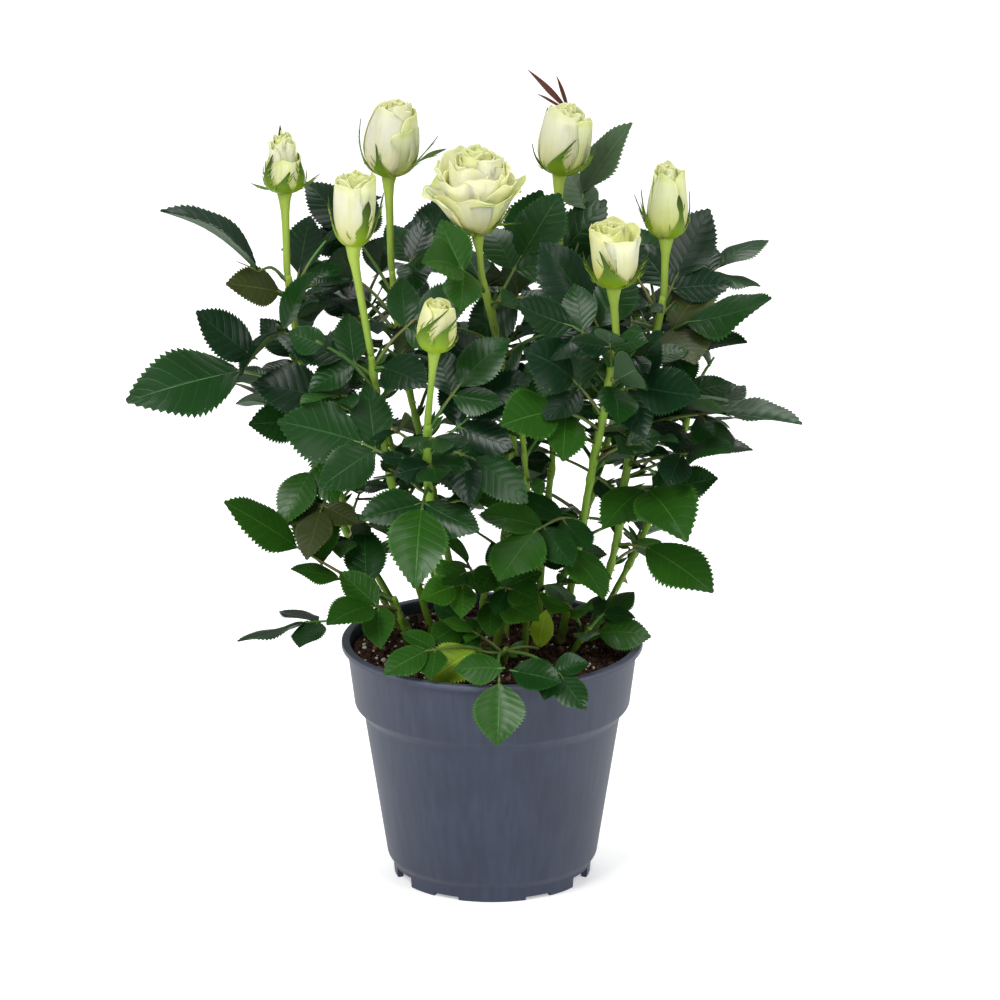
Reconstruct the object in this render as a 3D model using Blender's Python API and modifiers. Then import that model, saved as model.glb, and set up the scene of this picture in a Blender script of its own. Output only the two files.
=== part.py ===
"""A potted patio rose: eight flowering canes and eleven leafy shoots in a 13 cm nursery pot.

Every shoot is one bare cane from the soil, one leafy top that grows on from it, and on eight of
them one cream rose with its stalk. Metres, +Z up, origin at the middle of the pot's foot.
"""

import math
import random

import bmesh
import bpy
from mathutils import Quaternion, Vector
from mathutils.bvhtree import BVHTree

MM = 0.001
UP = Vector((0, 0, 1))
FRONT = Vector((0, -1, 0))
CLEAR = 0.3  # gap between pieces that touch, mm
FLAT = math.radians(0.2)  # faces that meet at less than this are one face

# Pot, mm
RIM_RADIUS = 65.0
RIM_HEIGHT = 105.5
LIP_DEPTH = 2.6
LIP_ROUND = 0.7
COLLAR_TOP_RADIUS = 62.6
COLLAR_FOOT_RADIUS = 59.4
COLLAR_FOOT = 77.5
SHOULDER_RADIUS = 55.4
SHOULDER = 73.0
BODY_FOOT_RADIUS = 45.4
BODY_FOOT = 9.0
FOOT_TOP = 6.0
FOOT_RADIUS = 43.0
FOOT_RING = 3.0  # width of the ring that the pot stands on
DRAFT = 0.4  # how much a moulded face leans over its height
WALL = 1.6
CORNER = 2.0  # bevel inside, where the wall meets the base
RECESS = 4.0  # the base plate's height over the table
PAD_RADIUS = 12.0
POT_SIDES = 36
DRAIN_HOLES = 8
DRAIN_RADIUS = 4.0
DRAIN_CIRCLE = 29.0
DRAIN_SIDES = 8
# Notches in one half of the foot ring: middle angle and half width in degrees, and height in mm
FOOT_NOTCHES = ((28, 8, 1.6), (64.5, 9.5, 4.6), (115.5, 9.5, 4.6), (152, 8, 1.6))

# Soil, mm
SOIL_TOP = 98.0
SOIL_EDGE = 100.5
SOIL_FLAT = 52.0

# Growth
LEAF_TURN = 144  # degrees from one leaf to the next round a stem
CANE_STEP = 14.0  # mm between the rings of a cane
STEM_STEPS = 5
RIB_STEPS = 2
LEAF_WIDTH = 0.64  # of its length
LEAF_CLEAR = 0.45  # mm that a blade keeps from every other node
BLADE_THICK = 1.2
SUNK = 1.2  # mm that an end leaflet's root reaches into its rib
TRIES = 9
LOWEST_LEAF = 30.0  # mm over the table
IN_STEM = 3.0  # mm of a rib that lie in and against its own stem
SHORTEST_REACH = 38.0  # mm from a joint to the tip of a leaf that grows by rule
LOW_REACH = 0.45  # share of the full reach that leaves would have on a shoot of no height

# The crown that a leaf keeps inside: centre and half sizes, mm
CROWN_MIDDLE = Vector((-6, 2, 205))
CROWN_HALF = Vector((132, 122, 104))

# Each shoot, mm: points that its stem passes, from the soil to where the leaves or the rose's
# stalk begin; the height where its cane ends; cane radius at foot and tip; leaves grown by rule
SHOOTS = {
    "front_left": (
        ((-20, 8, 98), (-24, -20, 148), (-27, -43, 190), (-27, -53, 218)), 178, 2.3, 1.9, 4),
    "front_right": (
        ((30, 14, 98), (36, -3, 142), (43, -24, 192), (49, -34, 228), (52, -38, 250)),
        150, 2.5, 1.9, 4),
    "left": (
        ((-26, 18, 98), (-40, 2, 160), (-47, -16, 205), (-51, -26, 240)), 168, 2.2, 1.8, 6),
    "centre": (
        ((2, 4, 98), (8, 6, 150), (9, 6, 190), (2, -1, 240), (-4, -8, 268)), 172, 2.6, 1.9, 6),
    "right": (
        ((42, 14, 98), (53, 3, 146), (57, 6, 175), (67, 9, 225), (73, 10, 256)),
        141, 2.3, 1.8, 3),
    "rear_right": (
        ((20, 24, 98), (22, 27, 140), (27, 30, 190), (29, 37, 262)), 172, 2.3, 1.7, 6),
    "rear_left": (
        ((-12, 26, 98), (-25, 30, 160), (-38, 29, 220), (-43, 29, 262)), 165, 2.3, 1.7, 6),
    "far_left": (
        ((-34, 12, 98), (-56, 19, 140), (-68, 20, 172), (-80, 12, 215), (-87, 8, 266)),
        160, 2.1, 1.7, 4),
    "low_left": (((-36, -4, 98), (-38, -8, 112), (-42, -12, 128)), 106, 1.7, 1.5, 0),
    "low_middle": (((-6, -14, 98), (-5, -17, 120), (-1, -20, 146)), 104, 1.8, 1.5, 0),
    "low_back": (((6, 26, 98), (8, 34, 120), (12, 44, 146)), 104, 1.8, 1.5, 5),
    "low_front": (((4, -24, 98), (5, -30, 106), (6, -37, 113)), 103, 1.7, 1.5, 0),
    "low_right": (((34, -10, 98), (37, -14, 108), (42, -17, 116)), 104, 1.6, 1.4, 1),
    "back": (((4, 36, 98), (6, 50, 160), (6, 60, 215), (4, 64, 246)), 135, 2.3, 1.8, 6),
    "back_left": (((-18, 36, 98), (-36, 50, 150), (-52, 58, 205), (-58, 60, 240)), 132, 2.1, 1.7, 8),
    "back_right": (((24, 36, 98), (42, 50, 150), (56, 58, 200), (64, 62, 236)), 132, 2.1, 1.7, 8),
    "side_right": (((44, 22, 98), (64, 28, 140), (80, 34, 180), (90, 38, 212)), 128, 2.0, 1.6, 6),
    "side_left": (((-40, 24, 98), (-62, 34, 140), (-78, 40, 178), (-86, 44, 212)), 128, 2.0, 1.6, 6),
    "middle": (((14, -6, 98), (16, -14, 150), (14, -20, 190), (12, -26, 214)), 140, 2.1, 1.7, 5),
}

# Leaves with a set place, mm and degrees: height of the joint on the stem, tip of the end
# leaflet, its length, pairs of side leaflets, how far its upper side leans to the front, its nod,
# and the hand, -1 or 1, on which it has no side leaflets
PLACED = {
    "front_left": (
        (190, (-90, -45, 217), 36, 1, 60, 15),
        (186, (-32, -95, 160), 36, 2, 45, 38),
        (208, (15, -62, 186), 29, 1, 45, 22),
        (214, (3, -50, 257), 33, 1, 45, 12),
        (202, (17, -44, 237), 32, 1, 45, 10),
    ),
    "front_right": (
        (224, (85, -66, 238), 38, 1, 45, 20),
        (214, (14, -62, 253), 33, 1, 45, 15),
        (208, (4, -74, 224), 34, 1, 45, 25),
        (238, (21, -22, 289), 36, 1, 45, 15),
        (243, (8, -46, 268), 30, 1, 40, 12),
        (162, (3, -76, 157), 34, 2, 36, 30),
        (232, (68, -52, 260), 22, 1, 40, 10),
    ),
    "left": (
        (230, (-91, -22, 247), 29, 1, 50, 15),
        (234, (-28, -52, 235), 34, 1, 45, 15),
        (205, (-102, -12, 224), 32, 1, 45, 15),
        (200, (-65, -26, 181), 30, 1, 55, 12),
    ),
    "centre": (
        (262, (-28, -52, 289), 30, 1, 50, 15),
        (252, (29, 26, 297), 33, 1, 40, 5),
        (256, (27, -38, 273), 27, 1, 40, 20),
    ),
    "right": (
        (250, (93, 34, 288), 33, 1, 45, 0),
        (247, (119, 46, 271), 28, 1, 30, 12),
        (244, (60, 38, 281), 28, 1, 45, 8),
        (236, (118, -15, 262), 42, 1, 24, 12),
        (226, (108, -12, 242), 31, 1, 32, 15),
        (213, (102, -40, 254), 28, 1, 40, 5),
        (198, (132, -10, 205), 37, 2, 18, 18),
        (182, (102, -44, 212), 29, 1, 42, 5),
        (176, (112, 12, 187), 26, 1, 20, 15),
        (170, (82, -56, 167), 40, 1, 38, 30),
        (147, (94, -32, 137), 38, 1, 30, 25, 1),
        (206, (103, 22, 214), 22, 1, 35, 5),
        (160, (99, -10, 180), 26, 1, 38, 12),
    ),
    "rear_right": (
        (253, (60, 58, 319), 34, 1, 20, 0),
        (246, (54, 44, 297), 26, 1, 40, 5),
        (240, (20, 54, 290), 28, 1, 45, 0),
    ),
    "rear_left": (
        (250, (-80, 46, 297), 28, 1, 35, 10),
        (254, (-19, 0, 288), 30, 1, 40, 18),
        (248, (-18, 50, 290), 28, 1, 45, 5),
    ),
    "far_left": (
        (262, (-142, -6, 301), 46, 0, 16, 14),
        (256, (-112, -8, 267), 26, 1, 40, 10),
        (250, (-78, 32, 286), 26, 1, 45, 5),
        (212, (-155, -20, 218), 52, 2, 50, 30, -1),
        (222, (-100, 16, 244), 22, 1, 40, 0),
        (194, (-104, 4, 201), 26, 1, 35, 15),
        (184, (-90, -4, 158), 26, 1, 35, 12),
        (170, (-76, -22, 146), 28, 1, 50, 20),
    ),
    "low_left": (
        (126, (-115, -22, 173), 44, 2, 26, 0, -1),
        (122, (-70, -46, 127), 28, 1, 48, 20),
        (112, (-109, -26, 113), 30, 1, 4, 20),
        (118, (-84, -18, 138), 20, 0, 40, 10),
    ),
    "low_middle": (
        (142, (14, -50, 152), 24, 1, 40, 15),
        (136, (-30, -46, 141), 22, 1, 40, 15),
        (128, (20, -44, 128), 24, 1, 45, 15),
        (120, (-26, -42, 118), 20, 1, 45, 15),
        (132, (24, -2, 152), 24, 1, 45, 10),
    ),
    "low_front": (
        (111, (0, -80, 85), 29, 1, 60, 46),
        (112, (44, -66, 98), 23, 1, 45, 30),
        (107, (-46, -60, 104), 22, 1, 40, 30),
        (110, (-28, -52, 108), 20, 0, 45, 20),
        (112, (22, -30, 124), 15, 0, 50, 0),
    ),
    "low_right": (
        (110, (68, -18, 113), 22, 1, 35, 20),
        (113, (40, -40, 118), 20, 1, 45, 15),
        (115, (62, 4, 126), 20, 1, 30, 10),
    ),
}

# Each rose, mm: foot and top of the bloom, its half width, how far it is open from 0 to 1
ROSES = {
    "front_left": ((-24, -60, 252), (-22, -61, 275), 8.6, 0.1),
    "front_right": ((51, -40, 274), (51, -41, 303), 12.2, 0.5),
    "left": ((-58, -30, 289), (-57, -30, 321), 9.6, 0.3),
    "centre": ((-6, -10, 289), (-8, -12, 328), 21.0, 1.0),
    "right": ((74, 10, 282), (76, 10, 315), 10.0, 0.2),
    "rear_right": ((29, 40, 302), (33, 41, 333), 12.0, 0.4),
    "rear_left": ((-44, 30, 304), (-42, 30, 338), 12.4, 0.4),
    "far_left": ((-88, 10, 302), (-88, 10, 328), 8.8, 0.2),
}

# The red young tip behind the rear right rose, in the same values as a leaf with a set place
YOUNG_TIP = (232, (23, 69, 344), 14, 2, 45, -8)
YOUNG_WIDTH = 0.34


# ---------------------------------------------------------------- scene and materials

def clear_scene():
    for thing in list(bpy.data.objects):
        bpy.data.objects.remove(thing)


def new_collection(name):
    made = bpy.data.collections.new(name)
    bpy.context.scene.collection.children.link(made)
    return made


def material(name, color, roughness):
    made = bpy.data.materials.new(name)
    made.use_nodes = True
    shader = made.node_tree.nodes["Principled BSDF"]
    shader.inputs["Base Color"].default_value = (*color, 1)
    shader.inputs["Roughness"].default_value = roughness
    return made


def mesh_object(name, bm, group, finish=None):
    mesh = bpy.data.meshes.new(name)
    bm.to_mesh(mesh)
    bm.free()
    made = bpy.data.objects.new(name, mesh)
    group.objects.link(made)
    if finish:
        mesh.materials.append(finish)
    return made


def evaluated_copy(thing):
    """The object's mesh with its modifiers applied, in world space."""
    graph = bpy.context.evaluated_depsgraph_get()
    mesh = bpy.data.meshes.new_from_object(thing.evaluated_get(graph))
    mesh.transform(thing.matrix_world)
    return mesh


# ---------------------------------------------------------------- lines

def smooth_line(points, count):
    """count + 1 points evenly spread on a Catmull-Rom curve through the given ones."""
    knots = [Vector(p) for p in points]
    knots = [2 * knots[0] - knots[1], *knots, 2 * knots[-1] - knots[-2]]
    fine = []
    for a, b, c, d in zip(knots, knots[1:], knots[2:], knots[3:]):
        for step in range(12):
            t = step / 12
            fine.append(
                0.5 * (2 * b + (c - a) * t + (2 * a - 5 * b + 4 * c - d) * t * t
                       + (3 * b - a - 3 * c + d) * t ** 3)
            )
    fine.append(knots[-2])
    return spread(fine, count)


def spread(points, count):
    """The line through the points, as count + 1 points at even distances."""
    lengths = [0.0]
    for a, b in zip(points, points[1:]):
        lengths.append(lengths[-1] + (b - a).length)
    made, at = [], 0
    for step in range(count + 1):
        goal = lengths[-1] * step / count
        while at < len(points) - 2 and lengths[at + 1] < goal:
            at += 1
        share = (goal - lengths[at]) / (lengths[at + 1] - lengths[at])
        made.append(points[at].lerp(points[at + 1], min(1, share)))
    return made


def at_height(line, height):
    """The point of a rising line at that height, and the line's direction there."""
    for a, b in zip(line, line[1:]):
        if b.z >= height:
            return a.lerp(b, (height - a.z) / (b.z - a.z)), (b - a).normalized()
    return line[-1].copy(), (line[-1] - line[-2]).normalized()


def between_heights(line, low, high):
    inner = [p for p in line if low < p.z < high]
    return [at_height(line, low)[0], *inner, at_height(line, high)[0]]


# ---------------------------------------------------------------- leaf plan

class Blade:
    """One leaflet: where it starts, where it points, which way its upper side faces, its size."""

    def __init__(self, root, direction, face, length, width=LEAF_WIDTH):
        self.root, self.length, self.width = root, length, width
        self.direction = direction.normalized()
        side = self.direction.cross(face).normalized()
        self.side, self.face = side, side.cross(self.direction)

    def point(self, along, across, lift):
        """A point given in shares of the blade's length, and a lift in mm."""
        place = self.direction * along + self.side * across
        return self.root + place * self.length + self.face * lift


class Leaf:
    """One compound leaf: its midrib from the stem to the end leaflet, and its blades."""

    def __init__(self, joint, tip, length, pairs, face, nod, bare=0, width=LEAF_WIDTH):
        chord = tip - joint
        length = min(length, chord.length - 7)
        side = chord.cross(UP).normalized()
        lift = side.cross(chord).normalized()
        crest = joint + chord / 2 + lift * (chord.length / 2 * math.tan(math.radians(nod)))
        self.joint, self.tip = joint, tip

        def on(t):
            return joint * (1 - t) ** 2 + crest * (2 * t * (1 - t)) + tip * t * t

        low, high = 0.0, 1.0
        for _ in range(20):
            t = (low + high) / 2
            low, high = (t, high) if (tip - on(t)).length > length else (low, t)
        self.rib = spread([on(low * k / 8) for k in range(9)], RIB_STEPS)
        ahead = (tip - self.rib[-1]).normalized()
        self.blades = [Blade(self.rib[-1] - ahead * SUNK, ahead, face, length + SUNK, width)]
        rib_length = sum((b - a).length for a, b in zip(self.rib, self.rib[1:]))
        fine = spread(self.rib, 24)
        for pair in range(pairs):
            back = length * (0.2 + 0.5 * pair)
            if back > rib_length - 5:
                break
            place = 24 * (1 - back / rib_length)
            root = fine[int(place)].lerp(fine[min(24, int(place) + 1)], place % 1)
            along = (fine[min(24, int(place) + 1)] - fine[int(place) - 1]).normalized()
            size = length * (0.8, 0.66, 0.5)[pair]
            for hand in [side for side in (-1, 1) if side != bare]:
                outward = along.cross(face).normalized() * hand
                angle = math.radians(58 + 9 * pair)
                way = along * math.cos(angle) + outward * math.sin(angle) - face * 0.12
                self.blades.append(Blade(root - way * SUNK / 3, way, face, size + SUNK / 3, width))


# Corners of a blade's outline, from the root round the tip: how far along, and how far across in
# shares of its half width. A small blade has four corners and a large one six.
SMALL_OUTLINE = ((0, 0), (0.42, 1.1), (1, 0), (0.42, -1.1))
LARGE_OUTLINE = ((0, 0), (0.3, 1), (0.7, 0.8), (1, 0), (0.7, -0.8), (0.3, -1))
LARGE_BLADE = 24.0  # mm long
RIB_AT = 0.46
FOLD = 0.05


def blade_mesh(blade, swell=0.0):
    """A flat leaf body of 8 or 12 faces, folded along its rib; swell makes it thicker, mm."""
    outline = LARGE_OUTLINE if blade.length > LARGE_BLADE else SMALL_OUTLINE
    corners = len(outline)
    bm = bmesh.new()
    bmesh.ops.create_uvsphere(bm, u_segments=corners, v_segments=2, radius=1)
    half = blade.width / 2
    for vert in bm.verts:
        if abs(vert.co.z) > 0.5:
            level = math.copysign(BLADE_THICK / 2 + swell, vert.co.z)
            vert.co = blade.point(RIB_AT, 0, level - FOLD * blade.length)
            continue
        corner = round(math.atan2(vert.co.y, vert.co.x) / (2 * math.pi) * corners) % corners
        along, across = outline[corner]
        lift = 0 if across else -FOLD * blade.length * (0.2 if corner == 0 else 0.9)
        vert.co = blade.point(along, -across * half, lift)
    return closed(bm)


def closed(bm):
    """Flat faces that point out, which a Boolean needs."""
    bmesh.ops.triangulate(bm, faces=bm.faces)
    bmesh.ops.recalc_face_normals(bm, faces=bm.faces)
    return bm


def twig_mesh(line, radii, sides=3):
    """A tapering twig: rings of few sides joined along a line, closed at both ends."""
    bm = bmesh.new()
    rings = []
    spin = None
    for k, point in enumerate(line):
        ahead = (line[min(k + 1, len(line) - 1)] - line[max(k - 1, 0)]).normalized()
        spin = ahead.cross(spin or Vector((1, -0.3, 0))).cross(ahead).normalized()
        other = ahead.cross(spin)
        ring = []
        for side in range(sides):
            angle = 2 * math.pi * side / sides
            ring.append(bm.verts.new(point + (spin * math.cos(angle) + other * math.sin(angle)) * radii[k]))
        rings.append(ring)
    for low, high in zip(rings, rings[1:]):
        for side in range(sides):
            other_side = (side + 1) % sides
            bm.faces.new((low[side], low[other_side], high[other_side], high[side]))
    bm.faces.new(rings[0])
    bm.faces.new(rings[-1])
    return closed(bm)


class Space:
    """What is already built, so that a new blade or twig can keep clear of it."""

    def __init__(self):
        self.kept = []

    def add(self, owner, bm):
        low, high = bounds(bm)
        self.kept.append((owner, low, high, BVHTree.FromBMesh(bm)))

    def free(self, owner, bm, skip=()):
        """True if the shape touches nothing of another owner, nor of its own but what skip names."""
        low, high = bounds(bm)
        tree = BVHTree.FromBMesh(bm)
        for other, other_low, other_high, other_tree in self.kept:
            if other in skip:
                continue
            if any(low[k] > other_high[k] or high[k] < other_low[k] for k in range(3)):
                continue
            if tree.overlap(other_tree):
                return False
        return True


def bounds(bm):
    places = [v.co for v in bm.verts]
    low = Vector([min(p[k] for p in places) for k in range(3)])
    high = Vector([max(p[k] for p in places) for k in range(3)])
    return low, high


def in_crown(point):
    off = point - CROWN_MIDDLE
    return sum((off[k] / CROWN_HALF[k]) ** 2 for k in range(3)) < 1


def try_leaf(space, owner, leaf, index):
    """The leaf's rib and the blades that fit; none where the rib itself would touch something."""
    stem, own = owner + " stem", f"{owner} {index}"
    radii = rib_radii(leaf)
    start = leaf.rib[0] + (leaf.rib[1] - leaf.rib[0]).normalized() * IN_STEM
    tested = twig_mesh([start, *leaf.rib[1:]], [r + LEAF_CLEAR for r in radii])
    clear = space.free(own, tested, (stem,))
    tested.free()
    if not clear:
        return []
    kept = []
    for blade in leaf.blades:
        tested = blade_mesh(blade, LEAF_CLEAR)
        if min(v.co.z for v in tested.verts) > LOWEST_LEAF and space.free(own, tested):
            kept.append(blade)
        tested.free()
    if leaf.blades[0] not in kept:
        return []
    return kept


def rib_radii(leaf):
    return [1.15 - 0.35 * k / (len(leaf.rib) - 1) for k in range(len(leaf.rib))]


def leaning(way, degrees):
    """The direction that leans from straight up towards a level one by so many degrees."""
    return UP * math.cos(math.radians(degrees)) + way * math.sin(math.radians(degrees))


def settle_leaf(space, owner, index, joint, tip, length, pairs, face, nod, bare=0,
                width=LEAF_WIDTH):
    """Tries the leaf in its place and then turned a little, and keeps the fullest version."""
    best, best_blades = None, []
    draw = random.Random(f"{owner} {index}")
    for attempt in range(TRIES):
        reach, turned_face, share = tip - joint, face.copy(), 1
        if attempt:
            reach.rotate(Quaternion(UP, math.radians(draw.uniform(-9, 9))))
            reach.rotate(Quaternion(reach.cross(UP).normalized(), math.radians(draw.uniform(-7, 7))))
            turned_face.rotate(Quaternion(reach.normalized(), math.radians(draw.uniform(-20, 20))))
            share = draw.uniform(0.82, 1)
        leaf = Leaf(joint, joint + reach, length * share, pairs, turned_face, nod, bare, width)
        blades = try_leaf(space, owner, leaf, index)
        if len(blades) > len(best_blades):
            best, best_blades = leaf, blades
        if len(best_blades) == len(leaf.blades):
            break
    if not best:
        return None
    best.blades = best_blades
    own = f"{owner} {index}"
    space.add(own, twig_mesh(best.rib, rib_radii(best)))
    for blade in best_blades:
        space.add(own, blade_mesh(blade))
    return best


def ruled_leaves(owner, line, start, count):
    """Joint, tip, blade length, pairs, face and nod of the leaves that the rule gives a stem."""
    top = line[-1].z
    full = LOW_REACH + (1 - LOW_REACH) * min(1, (top - SOIL_TOP) / 120)
    turn = random.Random(owner).uniform(0, 360)
    for k in range(count):
        draw = random.Random(f"{owner} rule {k}")
        share = (k + 0.6) / count
        height = start + 6 + (top - start - 8) * share
        joint = at_height(line, height)[0]
        heading = math.radians(turn + LEAF_TURN * k + draw.uniform(-14, 14))
        lift = math.radians(4 + 42 * share + draw.uniform(-9, 9))
        reach = full * (74 - 16 * share) * draw.uniform(0.88, 1.08)
        way = Vector((math.cos(heading), math.sin(heading), 0)) * math.cos(lift)
        way += UP * math.sin(lift)
        while reach > SHORTEST_REACH and not in_crown(joint + way * reach):
            reach -= 4
        if in_crown(joint + way * reach):
            tip = joint + way * reach
            outward = Vector((tip.x - CROWN_MIDDLE.x, tip.y - CROWN_MIDDLE.y, 0)).normalized()
            face = leaning(outward, draw.uniform(24, 52))
            yield joint, tip, reach * draw.uniform(0.46, 0.58), 1, face, 24


def plan_leaves(space, lines):
    """Every leaf of every shoot: those with a set place first, then those of the rule."""
    leaves = {name: [] for name in SHOOTS}
    for name, rows in PLACED.items():
        for index, (height, tip, length, pairs, lean, *droop) in enumerate(rows):
            joint, face = at_height(lines[name], height)[0], leaning(FRONT, lean)
            made = settle_leaf(space, name, index, joint, Vector(tip), length, pairs, face, *droop)
            leaves[name].append(made)
    height, tip, length, pairs, lean, nod = YOUNG_TIP
    joint, face = at_height(lines["rear_right"], height)[0], leaning(FRONT, lean)
    made = settle_leaf(space, "rear_right", "young", joint, Vector(tip), length, pairs, face, nod,
                       width=YOUNG_WIDTH)
    leaves["rear_right"].append(made)
    for name, (_, cane_end, _, _, count) in SHOOTS.items():
        for index, row in enumerate(ruled_leaves(name, lines[name], cane_end, count)):
            leaves[name].append(settle_leaf(space, name, f"rule {index}", *row))
    return {name: [leaf for leaf in kept if leaf] for name, kept in leaves.items()}


# ---------------------------------------------------------------- solids

def in_metres(bm):
    bmesh.ops.scale(bm, vec=(MM, MM, MM), verts=bm.verts)
    return bm


def largest_body(mesh):
    """Drops every loose scrap and every sealed hollow, and keeps the one outer body."""
    bm = bmesh.new()
    bm.from_mesh(mesh)
    bmesh.ops.dissolve_limit(bm, angle_limit=FLAT, verts=bm.verts, edges=bm.edges)
    bmesh.ops.triangulate(bm, faces=bm.faces)
    left, bodies = set(bm.faces), []
    while left:
        seed = left.pop()
        body, edge = [seed], [seed]
        while edge:
            for other in {f for e in edge.pop().edges for f in e.link_faces}:
                if other in left:
                    left.remove(other)
                    body.append(other)
                    edge.append(other)
        bodies.append(body)
    bodies.sort(key=len)
    for body in bodies[:-1]:
        bmesh.ops.delete(bm, geom=body, context="FACES")
    open_edges = sum(len(e.link_faces) != 2 for e in bm.edges)
    bm.to_mesh(mesh)
    bm.free()
    return [len(body) for body in bodies[:-1]], open_edges


def fuse(name, shapes, group, finish):
    """One solid from many overlapping ones, by a Boolean union on a collection of them."""
    for solver in ("EXACT", "MANIFOLD"):
        others = new_collection(name + "_shapes")
        first = mesh_object(name, shapes[0].copy(), group)
        for index, shape in enumerate(shapes[1:]):
            mesh_object(f"{name}_{index}", shape.copy(), others)
        union = first.modifiers.new("fuse", "BOOLEAN")
        union.operation, union.operand_type = "UNION", "COLLECTION"
        union.collection, union.solver = others, solver
        mesh = evaluated_copy(first)
        for thing in [first, *others.objects]:
            bpy.data.objects.remove(thing)
        bpy.data.collections.remove(others)
        dropped, open_edges = largest_body(mesh)
        if not open_edges:
            break
    for shape in shapes:
        shape.free()
    mesh.materials.clear()
    mesh.materials.append(finish)
    made = bpy.data.objects.new(name, mesh)
    group.objects.link(made)
    print(f"{name}: {len(mesh.polygons)} faces, {solver}, dropped {dropped}, open edges {open_edges}")
    return made


def turned(name, profile, group, finish):
    """A profile of (radius, height) in mm turned once about Z."""
    mesh = bpy.data.meshes.new(name)
    points = [(r * MM, 0, z * MM) for r, z in profile]
    mesh.from_pydata(points, [(k, k + 1) for k in range(len(points) - 1)], [])
    mesh.materials.append(finish)
    made = bpy.data.objects.new(name, mesh)
    group.objects.link(made)
    screw = made.modifiers.new("turn", "SCREW")
    screw.steps = screw.render_steps = POT_SIDES
    screw.use_merge_vertices, screw.merge_threshold = True, 0.00001
    return made


def cut(target, cutter):
    tool = target.modifiers.new("cut " + cutter.name, "BOOLEAN")
    tool.operation, tool.object = "DIFFERENCE", cutter
    cutter.hide_render = True
    cutter.display_type = "WIRE"


def make_pot(group, cutters, finish):
    inner_lip = COLLAR_TOP_RADIUS - WALL + DRAFT
    profile = (
        (0, RECESS + WALL), (BODY_FOOT_RADIUS - WALL - CORNER, RECESS + WALL),
        (BODY_FOOT_RADIUS - WALL, BODY_FOOT), (SHOULDER_RADIUS - WALL, SHOULDER),
        (COLLAR_FOOT_RADIUS - WALL, COLLAR_FOOT), (inner_lip, RIM_HEIGHT),
        (RIM_RADIUS - LIP_ROUND, RIM_HEIGHT), (RIM_RADIUS, RIM_HEIGHT - LIP_ROUND),
        (RIM_RADIUS, RIM_HEIGHT - LIP_DEPTH), (COLLAR_TOP_RADIUS, RIM_HEIGHT - LIP_DEPTH - DRAFT),
        (COLLAR_FOOT_RADIUS, COLLAR_FOOT), (SHOULDER_RADIUS, SHOULDER),
        (BODY_FOOT_RADIUS, BODY_FOOT), (FOOT_RADIUS, FOOT_TOP), (FOOT_RADIUS - DRAFT, 0),
        (FOOT_RADIUS - FOOT_RING, 0), (FOOT_RADIUS - FOOT_RING - DRAFT, RECESS),
        (PAD_RADIUS + DRAFT, RECESS), (PAD_RADIUS, 0), (0, 0),
    )
    pot = turned("pot", profile, group, finish)
    for side in (0, 180):
        for middle, half_width, height in FOOT_NOTCHES:
            angle = math.radians(side + middle - 90)
            width = 2 * FOOT_RADIUS * math.sin(math.radians(half_width))
            bpy.ops.mesh.primitive_cube_add(size=1)
            notch = bpy.context.object
            notch.name = f"notch_{side + middle:.0f}"
            notch.scale = (4 * FOOT_RING * MM, width * MM, 2 * height * MM)
            notch.rotation_euler.z = angle
            notch.location = Vector((math.cos(angle), math.sin(angle), 0)) * (FOOT_RADIUS * MM)
            move_to(notch, cutters)
            cut(pot, notch)
    for hole in range(DRAIN_HOLES):
        angle = 2 * math.pi * (hole + 0.5) / DRAIN_HOLES
        bpy.ops.mesh.primitive_cylinder_add(
            vertices=DRAIN_SIDES, radius=DRAIN_RADIUS * MM, depth=0.01)
        drill = bpy.context.object
        drill.name = f"drain_{hole}"
        drill.location = (
            DRAIN_CIRCLE * MM * math.cos(angle), DRAIN_CIRCLE * MM * math.sin(angle), RECESS * MM)
        move_to(drill, cutters)
        cut(pot, drill)
    return pot


def move_to(thing, group):
    for old in thing.users_collection:
        old.objects.unlink(thing)
    group.objects.link(thing)


def make_soil(group, finish):
    """The root ball fills the pot just clear of its wall, and is flat where the canes stand."""
    gap = WALL + CLEAR
    floor = RECESS + WALL + CLEAR
    slope = (COLLAR_TOP_RADIUS - COLLAR_FOOT_RADIUS) / (RIM_HEIGHT - COLLAR_FOOT)
    edge_radius = COLLAR_FOOT_RADIUS - gap + (SOIL_EDGE - COLLAR_FOOT) * slope
    profile = (
        (0, SOIL_TOP), (SOIL_FLAT, SOIL_TOP), (edge_radius, SOIL_EDGE),
        (COLLAR_FOOT_RADIUS - gap, COLLAR_FOOT), (SHOULDER_RADIUS - gap, SHOULDER),
        (BODY_FOOT_RADIUS - gap, BODY_FOOT), (BODY_FOOT_RADIUS - gap - CORNER, floor), (0, floor),
    )
    return turned("soil", profile, group, finish)


def make_cane(name, line, foot_radius, tip_radius, group, finish):
    """A tapering tube along the line, from a flat cut on the soil."""
    curve = bpy.data.curves.new(name, "CURVE")
    curve.dimensions = "3D"
    curve.bevel_depth = MM
    curve.bevel_resolution = 1
    curve.use_fill_caps = True
    spline = curve.splines.new("POLY")
    spline.points.add(len(line) - 1)
    for k, (point, place) in enumerate(zip(spline.points, line)):
        share = k / (len(line) - 1)
        point.co = (*(place * MM), 1)
        point.radius = foot_radius + (tip_radius - foot_radius) * share
    curve.materials.append(finish)
    made = bpy.data.objects.new(name, curve)
    group.objects.link(made)
    return made


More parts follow.
